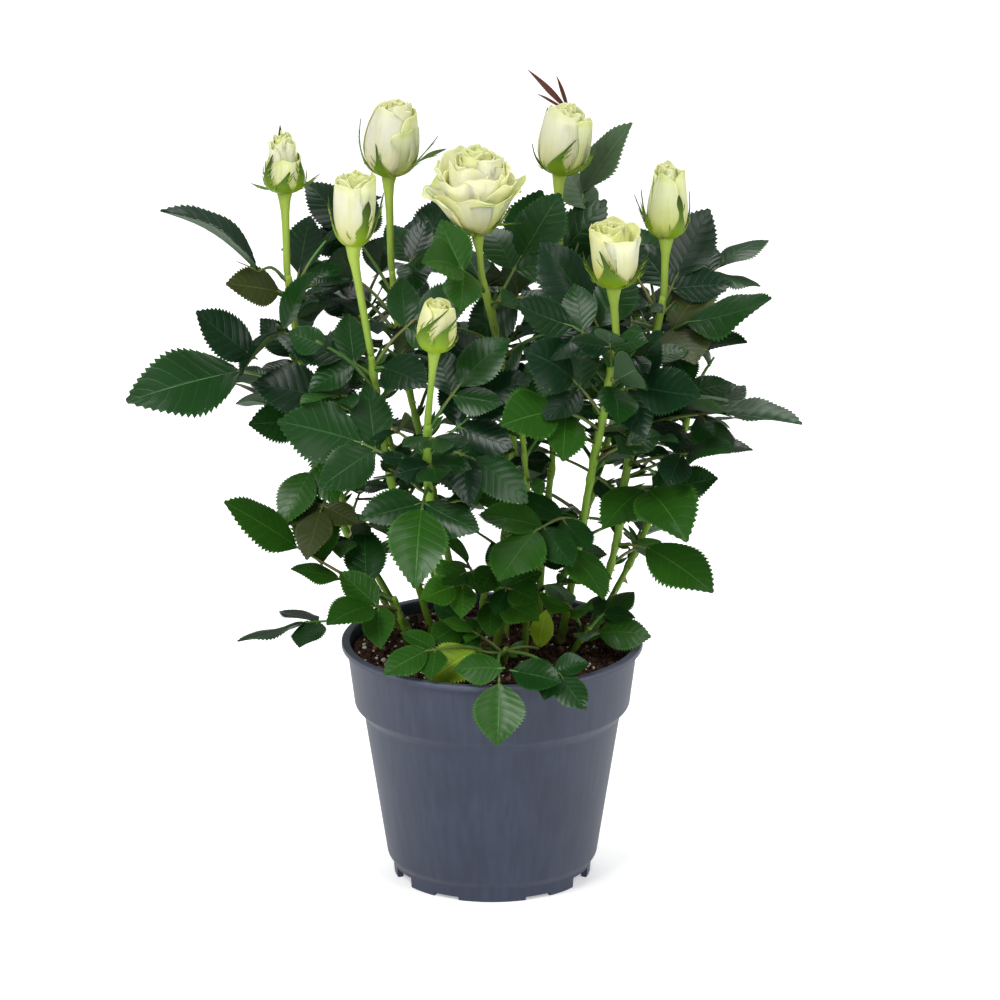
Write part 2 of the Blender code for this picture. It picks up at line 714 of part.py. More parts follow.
def mass_shapes(line, start, tip_radius, leaves):
    """The stem that grows on from a cane, with its leaves' ribs and blades sunk into it."""
    stem = spread(between_heights(line, start + CLEAR, line[-1].z), STEM_STEPS)
    radii = [tip_radius - 0.3 * k / STEM_STEPS for k in range(STEM_STEPS + 1)]
    shapes = [twig_mesh(stem, radii)]
    for leaf in leaves:
        shapes.append(twig_mesh(leaf.rib, rib_radii(leaf)))
        shapes.extend(blade_mesh(blade) for blade in leaf.blades)
    return [in_metres(shape) for shape in shapes]


# ---------------------------------------------------------------- roses

# A bloom from its foot over the outer petals' rims to its heart: height and half width as shares,
# first of a closed bud, then of an open rose, and how deep the five petals cut into that ring
BLOOM = (
    (0.00, 0.00, 0.00, 0.00, 0.00),
    (0.02, 0.42, 0.02, 0.30, 0.00),
    (0.16, 0.84, 0.20, 0.55, 0.03),
    (0.42, 1.00, 0.48, 0.82, 0.05),
    (0.74, 0.86, 0.80, 1.00, 0.07),
    (0.66, 0.66, 0.72, 0.78, 0.05),
    (0.96, 0.60, 0.98, 0.56, 0.08),
    (0.88, 0.36, 0.90, 0.32, 0.05),
    (0.99, 0.00, 0.97, 0.00, 0.00),
)
BLOOM_SIDES = 10


def bloom_mesh(foot, top, radius, opened):
    """A rose's petals in one body: rings that rise over the outer petals' rims to the heart."""
    bm = bmesh.new()
    rings = len(BLOOM) - 1
    bmesh.ops.create_uvsphere(bm, u_segments=BLOOM_SIDES, v_segments=rings, radius=1)
    turn = (top - foot).to_track_quat("Z", "Y")
    for vert in bm.verts:
        level = round(math.acos(max(-1, min(1, -vert.co.z))) / math.pi * rings)
        angle = math.atan2(vert.co.y, vert.co.x)
        shut_rise, shut_wide, open_rise, open_wide, lobe = BLOOM[level]
        wide = radius * (shut_wide + (open_wide - shut_wide) * opened)
        rise = shut_rise + (open_rise - shut_rise) * opened
        petal = lobe * math.cos(5 * angle + 1.3 * level)
        wide, rise = wide * (1 + petal), (rise + petal * 0.4) * (top - foot).length
        vert.co = foot + turn @ Vector((wide * math.cos(angle), wide * math.sin(angle), rise))
    return closed(bm)


def rose_shapes(name, line):
    """A rose in one piece: its stalk, the green cup under it, five sepals, heart and petals."""
    foot, top, radius, opened = ROSES[name]
    foot, top = Vector(foot), Vector(top)
    up = (top - foot).normalized()
    low = line[-1] + (line[-1] - line[-2]).normalized() * CLEAR
    stalk = spread([low, low.lerp(foot, 0.5) + (line[-1] - line[-2]).normalized() * 1.5,
                    foot + up * 4], 4)
    shapes = [twig_mesh(stalk, [1.5, 1.6, 1.8, 2.1, 2.8], sides=5)]
    draw = random.Random(name)
    swing = draw.uniform(0, 2 * math.pi)
    shapes.append(bloom_mesh(foot, top, radius, opened))
    for k in range(5):
        angle = swing + 2 * math.pi * (k + 0.4) / 5
        out = up.to_track_quat("Z", "Y") @ Vector((math.cos(angle), math.sin(angle), 0))
        spread_out = 0.55 + 0.5 * opened + draw.uniform(-0.12, 0.12)
        way = up * (1 - 0.55 * opened) + out * spread_out
        shapes.append(blade_mesh(Blade(foot + up * 1.2, way, -out + up * 0.3,
                                       (top - foot).length * 0.62, 0.3)))
    return [in_metres(shape) for shape in shapes]


# ---------------------------------------------------------------- the bush

def main():
    clear_scene()
    parts = new_collection("rose_bush")
    cutters = new_collection("cutters")
    pot_grey = material("pot plastic", (0.083, 0.095, 0.132), 0.42)
    peat = material("peat", (0.028, 0.014, 0.008), 0.95)
    cane_green = material("green cane", (0.15, 0.28, 0.04), 0.5)
    leaf_green = material("leaf", (0.012, 0.065, 0.022), 0.4)
    cream = material("cream petal", (0.78, 0.82, 0.48), 0.6)

    pot = make_pot(parts, cutters, pot_grey)
    soil = make_soil(parts, peat)
    bpy.context.view_layer.update()

    space = Space()
    for solid in (pot, soil):
        bm = bmesh.new()
        bm.from_mesh(evaluated_copy(solid))
        bmesh.ops.scale(bm, vec=(1 / MM,) * 3, verts=bm.verts)
        space.add(solid.name, bm)
    lines = {}
    for name, (points, cane_end, foot_radius, tip_radius, _) in SHOOTS.items():
        first = Vector(points[0]) + UP * CLEAR
        line = smooth_line([first, first + UP * 3, *points[1:]], 40)
        lines[name] = line
        bare = between_heights(line, first.z, cane_end)
        steps = max(2, round((cane_end - first.z) / CANE_STEP))
        cane = [first, first + UP * 1.5, *spread(bare, steps)[1:]]
        make_cane("cane_" + name, cane, foot_radius, tip_radius, parts, cane_green)
        space.add(name + " cane", twig_mesh(cane, [foot_radius + 0.2] * len(cane), 6))
        stem = between_heights(line, cane_end, line[-1].z)
        space.add(name + " stem", twig_mesh(stem, [tip_radius] * len(stem), 4))
    for name in ROSES:
        shapes = rose_shapes(name, lines[name])
        for shape in shapes:
            bmesh.ops.scale(shape, vec=(1 / MM,) * 3, verts=shape.verts)
            space.add(name + " rose", shape)
            bmesh.ops.scale(shape, vec=(MM,) * 3, verts=shape.verts)
        fuse("rose_" + name, shapes, parts, cream)
    leaves = plan_leaves(space, lines)
    for name, (_, cane_end, _, tip_radius, _) in SHOOTS.items():
        shapes = mass_shapes(lines[name], cane_end, tip_radius, leaves[name])
        fuse("leaves_" + name, shapes, parts, leaf_green)
    print("leaves", {name: [len(leaf.blades) for leaf in kept] for name, kept in leaves.items()})
    print("blades", sum(len(leaf.blades) for kept in leaves.values() for leaf in kept))


main()
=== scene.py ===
# %% [markdown]
# # A potted patio rose, dressed
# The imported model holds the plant's true sizes: one plain solid for the pot, the soil, each cane,
# each mass of leaves and each rose. This notebook keeps their places and sizes and makes what a
# hand would feel: toothed leaflets, canes with knots and prickles, petals, a moulded pot and peat.

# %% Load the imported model
import math
import random
from functools import partial

import bmesh
import bpy
import numpy as np
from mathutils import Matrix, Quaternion, Vector
from mathutils.bvhtree import BVHTree


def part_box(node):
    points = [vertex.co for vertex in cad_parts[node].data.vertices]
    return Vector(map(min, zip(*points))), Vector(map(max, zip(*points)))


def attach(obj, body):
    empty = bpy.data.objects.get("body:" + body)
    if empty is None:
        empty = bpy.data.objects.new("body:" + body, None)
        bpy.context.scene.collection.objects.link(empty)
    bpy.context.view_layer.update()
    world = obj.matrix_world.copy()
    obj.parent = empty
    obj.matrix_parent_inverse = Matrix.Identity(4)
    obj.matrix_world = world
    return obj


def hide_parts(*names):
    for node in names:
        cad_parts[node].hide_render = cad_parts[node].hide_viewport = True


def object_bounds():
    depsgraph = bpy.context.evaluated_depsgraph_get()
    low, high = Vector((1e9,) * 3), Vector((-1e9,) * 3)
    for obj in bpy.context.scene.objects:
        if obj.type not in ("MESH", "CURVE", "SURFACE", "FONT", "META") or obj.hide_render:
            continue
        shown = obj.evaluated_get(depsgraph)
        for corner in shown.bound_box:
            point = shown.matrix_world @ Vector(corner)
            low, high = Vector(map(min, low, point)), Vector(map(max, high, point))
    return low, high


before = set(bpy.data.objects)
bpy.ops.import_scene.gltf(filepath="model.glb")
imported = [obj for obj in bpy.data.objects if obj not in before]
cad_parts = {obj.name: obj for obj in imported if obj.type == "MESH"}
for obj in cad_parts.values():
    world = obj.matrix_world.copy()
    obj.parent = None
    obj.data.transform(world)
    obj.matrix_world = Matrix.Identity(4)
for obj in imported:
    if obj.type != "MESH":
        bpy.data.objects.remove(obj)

MM = 0.001
UP = Vector((0, 0, 1))
FRONT = Vector((0, -1, 0))
cad_low, cad_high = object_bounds()
print("packed model, mm:", [round((b - a) / MM, 1) for a, b in zip(cad_low, cad_high)])

# %% [markdown]
# ## Camera, floor and light
# A product picture is taken from far off with a long lens, so that the pot's sides stay nearly
# parallel. The camera is aimed by the direction from where it stands to where it looks, which
# keeps it level and needs no constraint.

# %% Camera
CAMERA_PLACE = Vector((0.00336, -2.83, 1.052))
CAMERA_AIM = Vector((0.00336, 0, 0.168))
LENS = 249.06  # mm on a sensor 36 mm wide

bpy.ops.object.camera_add(location=CAMERA_PLACE)
camera = bpy.context.object
camera.name = "camera"
camera.data.lens = LENS
camera.data.clip_end = 30
look = CAMERA_AIM - CAMERA_PLACE
camera.rotation_euler = look.to_track_quat("-Z", "Y").to_euler()
bpy.context.scene.camera = camera
print("camera looks down by", round(math.degrees(math.asin(-look.z / look.length)), 1), "degrees")

# %% [markdown]
# Colours are picked as they look on a screen, in sRGB hex, but light adds up in linear numbers.
# One function turns the first into the second. Another adds a shader node with its settings and
# links, so that a material reads as a list of what it is made of. Patterns follow a point's place
# on the plant, so each new material starts with the node that gives it.

# %% Colour and node helpers
def linear(hex_colour):
    """An sRGB hex colour as the four linear numbers that a socket takes."""
    shown = [int(hex_colour[k:k + 2], 16) / 255 for k in (1, 3, 5)]
    return (*(c / 12.92 if c <= 0.04045 else ((c + 0.055) / 1.055) ** 2.4 for c in shown), 1)


def add_node(tree, kind, inputs, ramp=(), **settings):
    """One shader node: inputs are values or other nodes' outputs, settings are its own choices, and
    ramp holds a colour ramp's stops from low to high, each a position and a hex colour."""
    node = tree.nodes.new("ShaderNode" + kind)
    for name, value in settings.items():
        setattr(node, name, value)
    if ramp:
        stops = node.color_ramp.elements
        stops[0].position, stops[1].position = ramp[0][0], ramp[-1][0]
        for position, _ in ramp[1:-1]:
            stops.new(position)
        for stop, (_, shade) in zip(stops, ramp):
            stop.color = linear(shade)
    for socket, value in inputs.items():
        if isinstance(value, bpy.types.NodeSocket):
            tree.links.new(value, node.inputs[socket])
        else:
            node.inputs[socket].default_value = value
    return node.outputs


def new_finish(name, **sockets):
    """A material, add_node for its tree, its one Principled shader, and the output of a place."""
    finish = bpy.data.materials.new(name)
    finish.use_nodes = True
    tree = finish.node_tree
    shader = tree.nodes["Principled BSDF"]
    for socket, value in sockets.items():
        shader.inputs[socket.replace("_", " ")].default_value = value
    add = partial(add_node, tree)
    return finish, add, shader, add("TexCoord", {})["Object"]


def set_shader(shader, **outputs):
    """Links node outputs to the shader's sockets of those names."""
    for socket, output in outputs.items():
        shader.id_data.links.new(output, shader.inputs[socket.replace("_", " ")])


print("slate grey in linear numbers:", [round(c, 3) for c in linear("#535a6c")[:3]])

# %% [markdown]
# The floor is a studio's white paper. It could be a curved backdrop, but the camera looks down
# steeply enough for a level sheet. Three large soft lamps and a pale sky leave a faint shadow.

# %% Floor and soft lamps
FLOOR_HALF = 9.0
LAMPS = {  # place in metres, watts, width in metres
    "key_left": ((-1.2, -1.5, 1.9), 42, 1.2),
    "fill_right": ((1.4, -1.4, 1.5), 20, 1.3),
    "top_back": ((0.1, 0.9, 2.2), 28, 1.4),
}
SKY_STRENGTH = 0.25
PAPER_GLOW = 0.38  # the sheet is lit from below too, which keeps it white
PAPER_FIBRE = 1.1  # mm, drawn coarse enough to show

paper, add, shader, place = new_finish(
    "paper_sweep", Roughness=0.9, Base_Color=linear("#fbfbfb"),
    Emission_Color=linear("#ffffff"), Emission_Strength=PAPER_GLOW)
fibres = add("TexNoise", {"Vector": place, "Scale": 1 / (PAPER_FIBRE * MM)})["Fac"]
bump = add("Bump", {"Height": fibres, "Strength": 0.05, "Distance": 0.0002})["Normal"]
set_shader(shader, Normal=bump)

bpy.ops.mesh.primitive_grid_add(x_subdivisions=8, y_subdivisions=8, size=2 * FLOOR_HALF)
floor = bpy.context.object
floor.name = "floor"
floor.data.materials.append(paper)

for name, (spot, watts, width) in LAMPS.items():
    bpy.ops.object.light_add(type="AREA", location=spot)
    lamp = bpy.context.object
    lamp.name = name
    lamp.data.energy, lamp.data.size = watts, width
    lamp.rotation_euler = (CAMERA_AIM - Vector(spot)).to_track_quat("-Z", "Y").to_euler()

sky = bpy.data.worlds.new("pale_sky")
sky.use_nodes = True
sky.node_tree.nodes["Background"].inputs["Color"].default_value = linear("#ffffff")
sky.node_tree.nodes["Background"].inputs["Strength"].default_value = SKY_STRENGTH
bpy.context.scene.world = sky
bpy.context.scene.view_settings.view_transform = "Standard"
print("lamps:", ", ".join(LAMPS))

# %% [markdown]
# ## Working by hand, in code
# Most pieces start as a primitive and are shaped in edit mode, as a modeller would with the
# mouse. An operator acts on whatever is selected, so small helpers come first: one adds a
# primitive, one selects points, edges or faces by a test, and the others finish a piece.

# %% Helpers for modelling
def start(kind, **settings):
    """Deselects everything and adds a mesh primitive, in metres."""
    if bpy.context.mode != "OBJECT":
        bpy.ops.object.mode_set(mode="OBJECT")
    bpy.ops.object.select_all(action="DESELECT")
    getattr(bpy.ops.mesh, f"primitive_{kind}_add")(**settings)
    return bpy.context.object


def pick(kind, test):
    """In edit mode, selects only the VERTs, EDGEs or FACEs that pass the test."""
    bpy.ops.mesh.select_mode(type=kind)
    bpy.ops.mesh.select_all(action="DESELECT")
    bm = bmesh.from_edit_mesh(bpy.context.object.data)
    for part in {"VERT": bm.verts, "EDGE": bm.edges, "FACE": bm.faces}[kind]:
        if test(part):
            part.select_set(True)
    bm.select_flush_mode()
    bmesh.update_edit_mesh(bpy.context.object.data)


def close_edit():
    """Turns all faces outward and leaves edit mode."""
    bpy.ops.mesh.select_all(action="SELECT")
    bpy.ops.mesh.normals_make_consistent(inside=False)
    bpy.ops.object.mode_set(mode="OBJECT")


def take(piece):
    """Makes the piece the only selected one, and the active one."""
    bpy.ops.object.select_all(action="DESELECT")
    piece.select_set(True)
    bpy.context.view_layer.objects.active = piece


def apply_all(piece):
    """Applies the piece's modifiers in their order."""
    take(piece)
    for modifier in list(piece.modifiers):
        bpy.ops.object.modifier_apply(modifier=modifier.name)


def finish_piece(piece, name, finishes, replaced=(), smooth_angle=180):
    """Names a finished piece, gives it its materials and lets it ride on the plant's body."""
    piece.name = piece.data.name = name
    for finish in finishes:
        piece.data.materials.append(finish)
    take(piece)
    bpy.ops.object.transform_apply()
    bpy.ops.object.shade_smooth_by_angle(angle=math.radians(smooth_angle))
    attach(piece, "root")
    if replaced:
        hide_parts(*replaced)
    piece.data.calc_loop_triangles()
    used = {face.material_index for face in piece.data.polygons}
    print(f"{name}: {len(piece.data.loop_triangles)} triangles, {len(used)} of {len(finishes)} finishes")
    return piece


print("helpers ready:", ", ".join(made.__name__ for made in (start, pick, close_edit, take, apply_all)))

# %% [markdown]
# ## The pot
# A nursery pot is thin polypropylene, blown into a mould: a rolled lip, a slightly flared collar,
# a step down to the tapering body and a foot ring. It could be a turned profile with a Screw
# modifier. Here one ring of edges is extruded and resized from level to level, because each level
# then stays a row of the real profile.

# %% Pot sizes, mm
pot_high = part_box("pot")[1]
RIM_RADIUS = pot_high.x / MM
RIM_HEIGHT = pot_high.z / MM
COLLAR_TOP_RADIUS = RIM_RADIUS - 2.4
COLLAR_FOOT_RADIUS = RIM_RADIUS - 5.6
COLLAR_FOOT = 77.5
SHOULDER_RADIUS = 55.4
SHOULDER = 73.0
BODY_FOOT_RADIUS = 45.4
BODY_FOOT = 9.0
FOOT_RADIUS = 43.0
FOOT_TOP = 6.0
FOOT_RING = 3.0
RECESS = 4.0
PAD_RADIUS = 12.0
WALL = 1.6
LIP_DEPTH = 2.6
POT_SIDES = 144
FOOT_NOTCHES = (  # middle and half width in degrees round the foot, height in mm
    (28, 8, 1.6), (64.5, 9.5, 4.6), (115.5, 9.5, 4.6), (152, 8, 1.6))
DRAIN_HOLES, DRAIN_RADIUS, DRAIN_CIRCLE = 8, 4.0, 29.0
DRAIN_CUT = 10.0  # height of the cutter, well over the base's thickness
CORNER_STEPS = 4


def rounded(before, corner, after, radius):
    """The corner of a profile as an arc-like curve, so that moulded edges catch the light."""
    a, b, c = Vector(before), Vector(corner), Vector(after)
    start_at = b + (a - b).normalized() * radius
    end_at = b + (c - b).normalized() * radius
    return [tuple(start_at * (1 - t) ** 2 + b * (2 * t * (1 - t)) + end_at * t * t)
            for t in [k / CORNER_STEPS for k in range(CORNER_STEPS + 1)]]


inner_rim = COLLAR_TOP_RADIUS - WALL
lip_under = RIM_HEIGHT - LIP_DEPTH
POT_CORNERS = (  # radius, height and rounding, from the pad under the pot, up and back down inside
    (PAD_RADIUS, 0.0, 0), (PAD_RADIUS + 0.4, RECESS, 0.6), (FOOT_RADIUS - FOOT_RING - 0.4, RECESS, 0.6),
    (FOOT_RADIUS - FOOT_RING, 0.0, 0.5), (FOOT_RADIUS - 0.4, 0.0, 0.6), (FOOT_RADIUS, FOOT_TOP, 0.6),
    (BODY_FOOT_RADIUS, BODY_FOOT, 1.2), (SHOULDER_RADIUS, SHOULDER, 1.0),
    (COLLAR_FOOT_RADIUS, COLLAR_FOOT, 0.9), (COLLAR_TOP_RADIUS, lip_under - 0.4, 0.5),
    (RIM_RADIUS, lip_under, 0.5), (RIM_RADIUS, RIM_HEIGHT, 0.9), (inner_rim + 0.4, RIM_HEIGHT, 0.9),
    (COLLAR_FOOT_RADIUS - WALL, COLLAR_FOOT, 1.0), (SHOULDER_RADIUS - WALL, SHOULDER, 1.0),
    (BODY_FOOT_RADIUS - WALL, BODY_FOOT, 1.0), (BODY_FOOT_RADIUS - WALL - 2, RECESS + WALL, 0),
)
profile = [POT_CORNERS[0][:2]]
for before, corner, after in zip(POT_CORNERS, POT_CORNERS[1:], POT_CORNERS[2:]):
    profile += rounded(before[:2], corner[:2], after[:2], corner[2])
profile.append(POT_CORNERS[-1][:2])
print("pot profile has", len(profile), "levels, rim", round(2 * RIM_RADIUS, 1), "mm across")

# %% [markdown]
# The wall starts as a disc under the pot. Its edge is extruded up the outside, over the lip and
# down the inside, and a last face closes the floor.

# %% Pull the pot's wall up ring by ring
pot = start("circle", vertices=POT_SIDES, radius=profile[0][0] * MM, fill_type="NGON")
bpy.ops.object.mode_set(mode="EDIT")
pick("EDGE", lambda edge: edge.is_boundary)
for (radius, height), (next_radius, next_height) in zip(profile, profile[1:]):
    rise = (0, 0, (next_height - height) * MM)
    bpy.ops.mesh.extrude_region_move(TRANSFORM_OT_translate={"value": rise})
    share = next_radius / radius
    bpy.ops.transform.resize(value=(share, share, 1), center_override=(0, 0, 0))
bpy.ops.mesh.edge_face_add()
close_edit()
print("pot wall:", len(pot.data.polygons), "faces")

# %% [markdown]
# Water leaves through notches in the foot ring and round holes in the base. Both are cut with
# Boolean modifiers: they keep the wall closed, where deleting faces would leave open edges.

# %% Cut the notches and the drain holes
cutters = []
for side in (0, 180):
    for middle, half_width, height in FOOT_NOTCHES:
        turn = math.radians(side + middle - 90)
        width = 2 * FOOT_RADIUS * math.sin(math.radians(half_width))
        spot = Vector((math.cos(turn), math.sin(turn), 0)) * FOOT_RADIUS * MM
        notch = start("cube", size=1, location=spot, rotation=(0, 0, turn))
        notch.scale = (4 * FOOT_RING * MM, width * MM, 2 * height * MM)
        cutters.append(notch)
for hole in range(DRAIN_HOLES):
    turn = 2 * math.pi * (hole + 0.5) / DRAIN_HOLES
    spot = Vector((DRAIN_CIRCLE * math.cos(turn), DRAIN_CIRCLE * math.sin(turn), RECESS)) * MM
    cutters.append(start("cylinder", vertices=24, radius=DRAIN_RADIUS * MM, depth=DRAIN_CUT * MM,
                         location=spot))
for cutter in cutters:
    cut = pot.modifiers.new("cut", "BOOLEAN")
    cut.operation, cut.object = "DIFFERENCE", cutter
apply_all(pot)
for cutter in cutters:
    bpy.data.objects.remove(cutter)
print("notches and holes cut:", 2 * len(FOOT_NOTCHES), "and", DRAIN_HOLES)

# %% [markdown]
# The plastic is slate grey with a fine spark-eroded texture: a soft, wide highlight, faint upright
# streaks from the mould, and a painted highlight along the lip: a paler grey in cloudy patches where
# the rim catches the light. The streaks' noise is drawn long along Z.

# %% Pot plastic
GRAIN = 0.5  # mm between the bumps of the mould's texture, drawn a little coarse
STREAK, STREAK_LENGTH = 3.0, 50.0  # mm between upright streaks, and along one
CLOUD = 25.0  # mm across a cloud of duller or shinier plastic
LIP_HIGHLIGHT = 2.0  # mm below the rim that get a painted highlight, a paler grey

plastic, add, shader, place = new_finish("moulded_polypropylene", IOR=1.49, Specular_IOR_Level=0.4)
grain = add("TexNoise", {"Vector": place, "Scale": 1 / (GRAIN * MM), "Detail": 2.0})["Fac"]
long_way = add("Mapping", {"Vector": place, "Scale": (1, 1, STREAK / STREAK_LENGTH)})["Vector"]
streaks = add("TexNoise", {"Vector": long_way, "Scale": 1 / (STREAK * MM)})["Fac"]
clouds = add("TexNoise", {"Vector": place, "Scale": 1 / (CLOUD * MM), "Detail": 5.0})["Fac"]
mixed = add("Math", {0: streaks, 1: clouds}, operation="MULTIPLY")["Value"]
colour = add("ValToRGB", {"Fac": mixed}, ramp=((0.12, "#2a3144"), (0.42, "#353d50")))["Color"]
height = add("SeparateXYZ", {0: place})["Z"]
# painted highlight: the top of the lip is mixed towards a paler grey, in cloudy patches
at_lip_top = add("MapRange", {"Value": height, "From Min": (RIM_HEIGHT - LIP_HIGHLIGHT) * MM,
                          "From Max": RIM_HEIGHT * MM})["Result"]
painted_lip_highlight = add("Math", {0: at_lip_top, 1: clouds}, operation="MULTIPLY")["Value"]
base = add("Mix", {"Factor": painted_lip_highlight, 6: colour, 7: linear("#6b7182")}, data_type="RGBA")[2]
gloss = add("MapRange", {"Value": clouds, "To Min": 0.4, "To Max": 0.56})["Result"]
bump = add("Bump", {"Height": grain, "Strength": 0.16, "Distance": 0.0003})["Normal"]
set_shader(shader, Base_Color=base, Roughness=gloss, Normal=bump)
finish_piece(pot, "pot_shell", [plastic], ["pot"], smooth_angle=32)

# %% [markdown]
# ## The soil
# Peat heaps up round the canes. Its top could be a flat disc with a bump, but its edge and its
# heaps show, so rings are pulled inwards and a Displace modifier pushes them up and down.

# %% Soil top
SOIL_EDGE = 100.5
SOIL_TOP = 98.0
SOIL_BAND = 14.0  # mm of its side that are made, because the rest is hidden in the pot
SOIL_RINGS = 44
SOIL_SIDES = 120
SLOPING = 0.4  # share of the rings, from the edge in, over which the soil sinks to its top
LUMPS = ((0.012, 0.0045), (0.004, 0.0028), (0.0016, 0.0012))  # size and height of heaps, metres
soil_radius = COLLAR_FOOT_RADIUS - WALL + (SOIL_EDGE - COLLAR_FOOT) * (
    COLLAR_TOP_RADIUS - COLLAR_FOOT_RADIUS) / (RIM_HEIGHT - COLLAR_FOOT)

soil = start("circle", vertices=SOIL_SIDES, radius=soil_radius * MM,
             location=(0, 0, (SOIL_EDGE - SOIL_BAND) * MM))
bpy.ops.object.mode_set(mode="EDIT")
bpy.ops.mesh.select_all(action="SELECT")
bpy.ops.mesh.extrude_region_move(TRANSFORM_OT_translate={"value": (0, 0, SOIL_BAND * MM)})
for ring in range(SOIL_RINGS, 1, -1):
    sink = (SOIL_TOP - SOIL_EDGE) / SOIL_RINGS / SLOPING if ring > SOIL_RINGS * (1 - SLOPING) else 0
    bpy.ops.mesh.extrude_region_move(TRANSFORM_OT_translate={"value": (0, 0, sink * MM)})
    bpy.ops.transform.resize(value=((ring - 1) / ring,) * 2 + (1,), center_override=(0, 0, 0))
bpy.ops.mesh.edge_face_add()
close_edit()

heaps = soil.vertex_groups.new(name="loose")
inner = [v.index for v in soil.data.vertices if v.co.xy.length < (soil_radius - 0.4) * MM]
heaps.add(inner, 1, "REPLACE")
for size, strength in LUMPS:
    lumps = bpy.data.textures.new("lumps", "CLOUDS")
    lumps.noise_scale, lumps.noise_depth = size, 3
    push = soil.modifiers.new("lumps", "DISPLACE")
    push.texture, push.strength, push.mid_level = lumps, strength, 0.42
    push.direction, push.vertex_group, push.texture_coords = "Z", heaps.name, "LOCAL"
apply_all(soil)
print("soil top:", len(soil.data.polygons), "faces,", round(2 * soil_radius), "mm across")

# %% [markdown]
# Peat is nearly black-brown and wholly matt. One noise mixes its browns in crumbs of about two
# millimetres, and a finer one raises its fibres.

# %% Peat
CRUMB = 2.0  # mm across a crumb
PEAT_FIBRE = 0.5  # mm, drawn coarse enough to show
peat, add, shader, place = new_finish("damp_peat", Roughness=0.95, Specular_IOR_Level=0.25)
crumbs = add("TexNoise", {"Vector": place, "Scale": 1 / (CRUMB * MM), "Detail": 6.0})["Fac"]
browns = add("ValToRGB", {"Fac": crumbs}, ramp=((0.34, "#1a100b"), (0.68, "#54382a")))["Color"]
fine = add("TexNoise", {"Vector": place, "Scale": 1 / (PEAT_FIBRE * MM), "Detail": 4.0})["Fac"]
bump = add("Bump", {"Height": fine, "Strength": 0.7, "Distance": 0.0008})["Normal"]
set_shader(shader, Base_Color=browns, Normal=bump)
finish_piece(soil, "soil_top", [peat], ["soil"])

# %% [markdown]
# ## Many copies of a few shapes
# Crumbs, leaflets, prickles and petals are each modelled once and laid out hundreds of times.
# Objects that share a mesh would be lost in an export, so every copy is written into one pile,
# which becomes one mesh. Its map tells a material how far along and across the shape a point
# lies. Leaflets, petals and sepals start as a grid whose rows are narrowed one by one.

# %% A pile of copies
class Shape:
    """A modelled shape as arrays: its points, its faces, and its map, both from 0 to 1."""

    def __init__(self, modelled, across=None):
        mesh = modelled.data
        self.points = np.array([v.co for v in mesh.vertices])
        self.faces = [tuple(face.vertices) for face in mesh.polygons]
        low, high = self.points.min(0), self.points.max(0)
        share = (self.points - low) / np.maximum(high - low, 1e-9)
        self.map = np.clip(share[:, :2], 0, 1)
        if across is not None:
            self.map[:, 0] = np.clip(0.5 + across(self.points) / 2, 0, 1)
        bpy.data.objects.remove(modelled)


class Pile:
    """Copies of shapes, gathered as arrays and made into one mesh at the end."""

    def __init__(self):
        self.points, self.maps, self.faces, self.finishes, self.count = [], [], [], [], 0

    def add(self, shape, points, finish=0):
        """Notes one copy: the shape's faces and map, its own points in mm, one finish."""
        self.points.append(points)
        self.maps.append(shape.map)
        self.faces += [[corner + self.count for corner in face] for face in shape.faces]
        self.finishes += [finish] * len(shape.faces)
        self.count += len(points)

    def make(self):
        """Turns the pile into one object, in metres."""
        mesh = bpy.data.meshes.new("pile")
        mesh.from_pydata(np.concatenate(self.points) * MM, [], self.faces)
        mesh.polygons.foreach_set("material_index", self.finishes)
        corners = np.zeros(len(mesh.loops), int)
        mesh.loops.foreach_get("vertex_index", corners)
        chart = mesh.uv_layers.new(name="shape")
        chart.data.foreach_set("uv", np.concatenate(self.maps)[corners].ravel())
        piece = bpy.data.objects.new("pile", mesh)
        bpy.context.scene.collection.objects.link(piece)
        return piece


def turn_points(points, turn):
    """Points turned by a quaternion."""
    return points @ np.array(turn.to_matrix()).T


def narrowed_grid(columns, widths):
    """Starts a grid of two by two, in edit mode, with a half width for each row from its foot on."""
    grid = start("grid", x_subdivisions=columns, y_subdivisions=len(widths) - 1, size=2)
    bpy.ops.object.mode_set(mode="EDIT")
    for row, width in enumerate(widths):
        pick("VERT", lambda v: v.index // (columns + 1) == row)
        bpy.ops.transform.resize(value=(width, 1, 1), center_override=(0, 0, 0))
    return grid


def grid_shape(grid, half_width):
    """The grid as a Shape that is one long; half_width(along) says where its map's sides lie."""
    shape = Shape(grid, across=lambda p: p[:, 0] / half_width((p[:, 1] + 1) / 2))
    shape.points[:, 1] = (shape.points[:, 1] + 1) / 2
    return shape


print("a pile gathers copies as arrays")

# %% [markdown]
# Loose crumbs and grains lie on the soil. Each is a low ball, squeezed and turned by chance, and
# sits where a ray dropped on the soil lands, so that none floats.

# %% Crumbs and grains
CRUMBS, GRAINS, CHIPS = 1700, 330, 90
lump = start("ico_sphere", subdivisions=1, radius=1)
bpy.ops.object.mode_set(mode="EDIT")
bpy.ops.mesh.select_all(action="SELECT")
bpy.ops.transform.vertex_random(offset=0.28, seed=4)
bpy.ops.object.mode_set(mode="OBJECT")
lump = Shape(lump)
ground = BVHTree.FromObject(soil, bpy.context.evaluated_depsgraph_get())


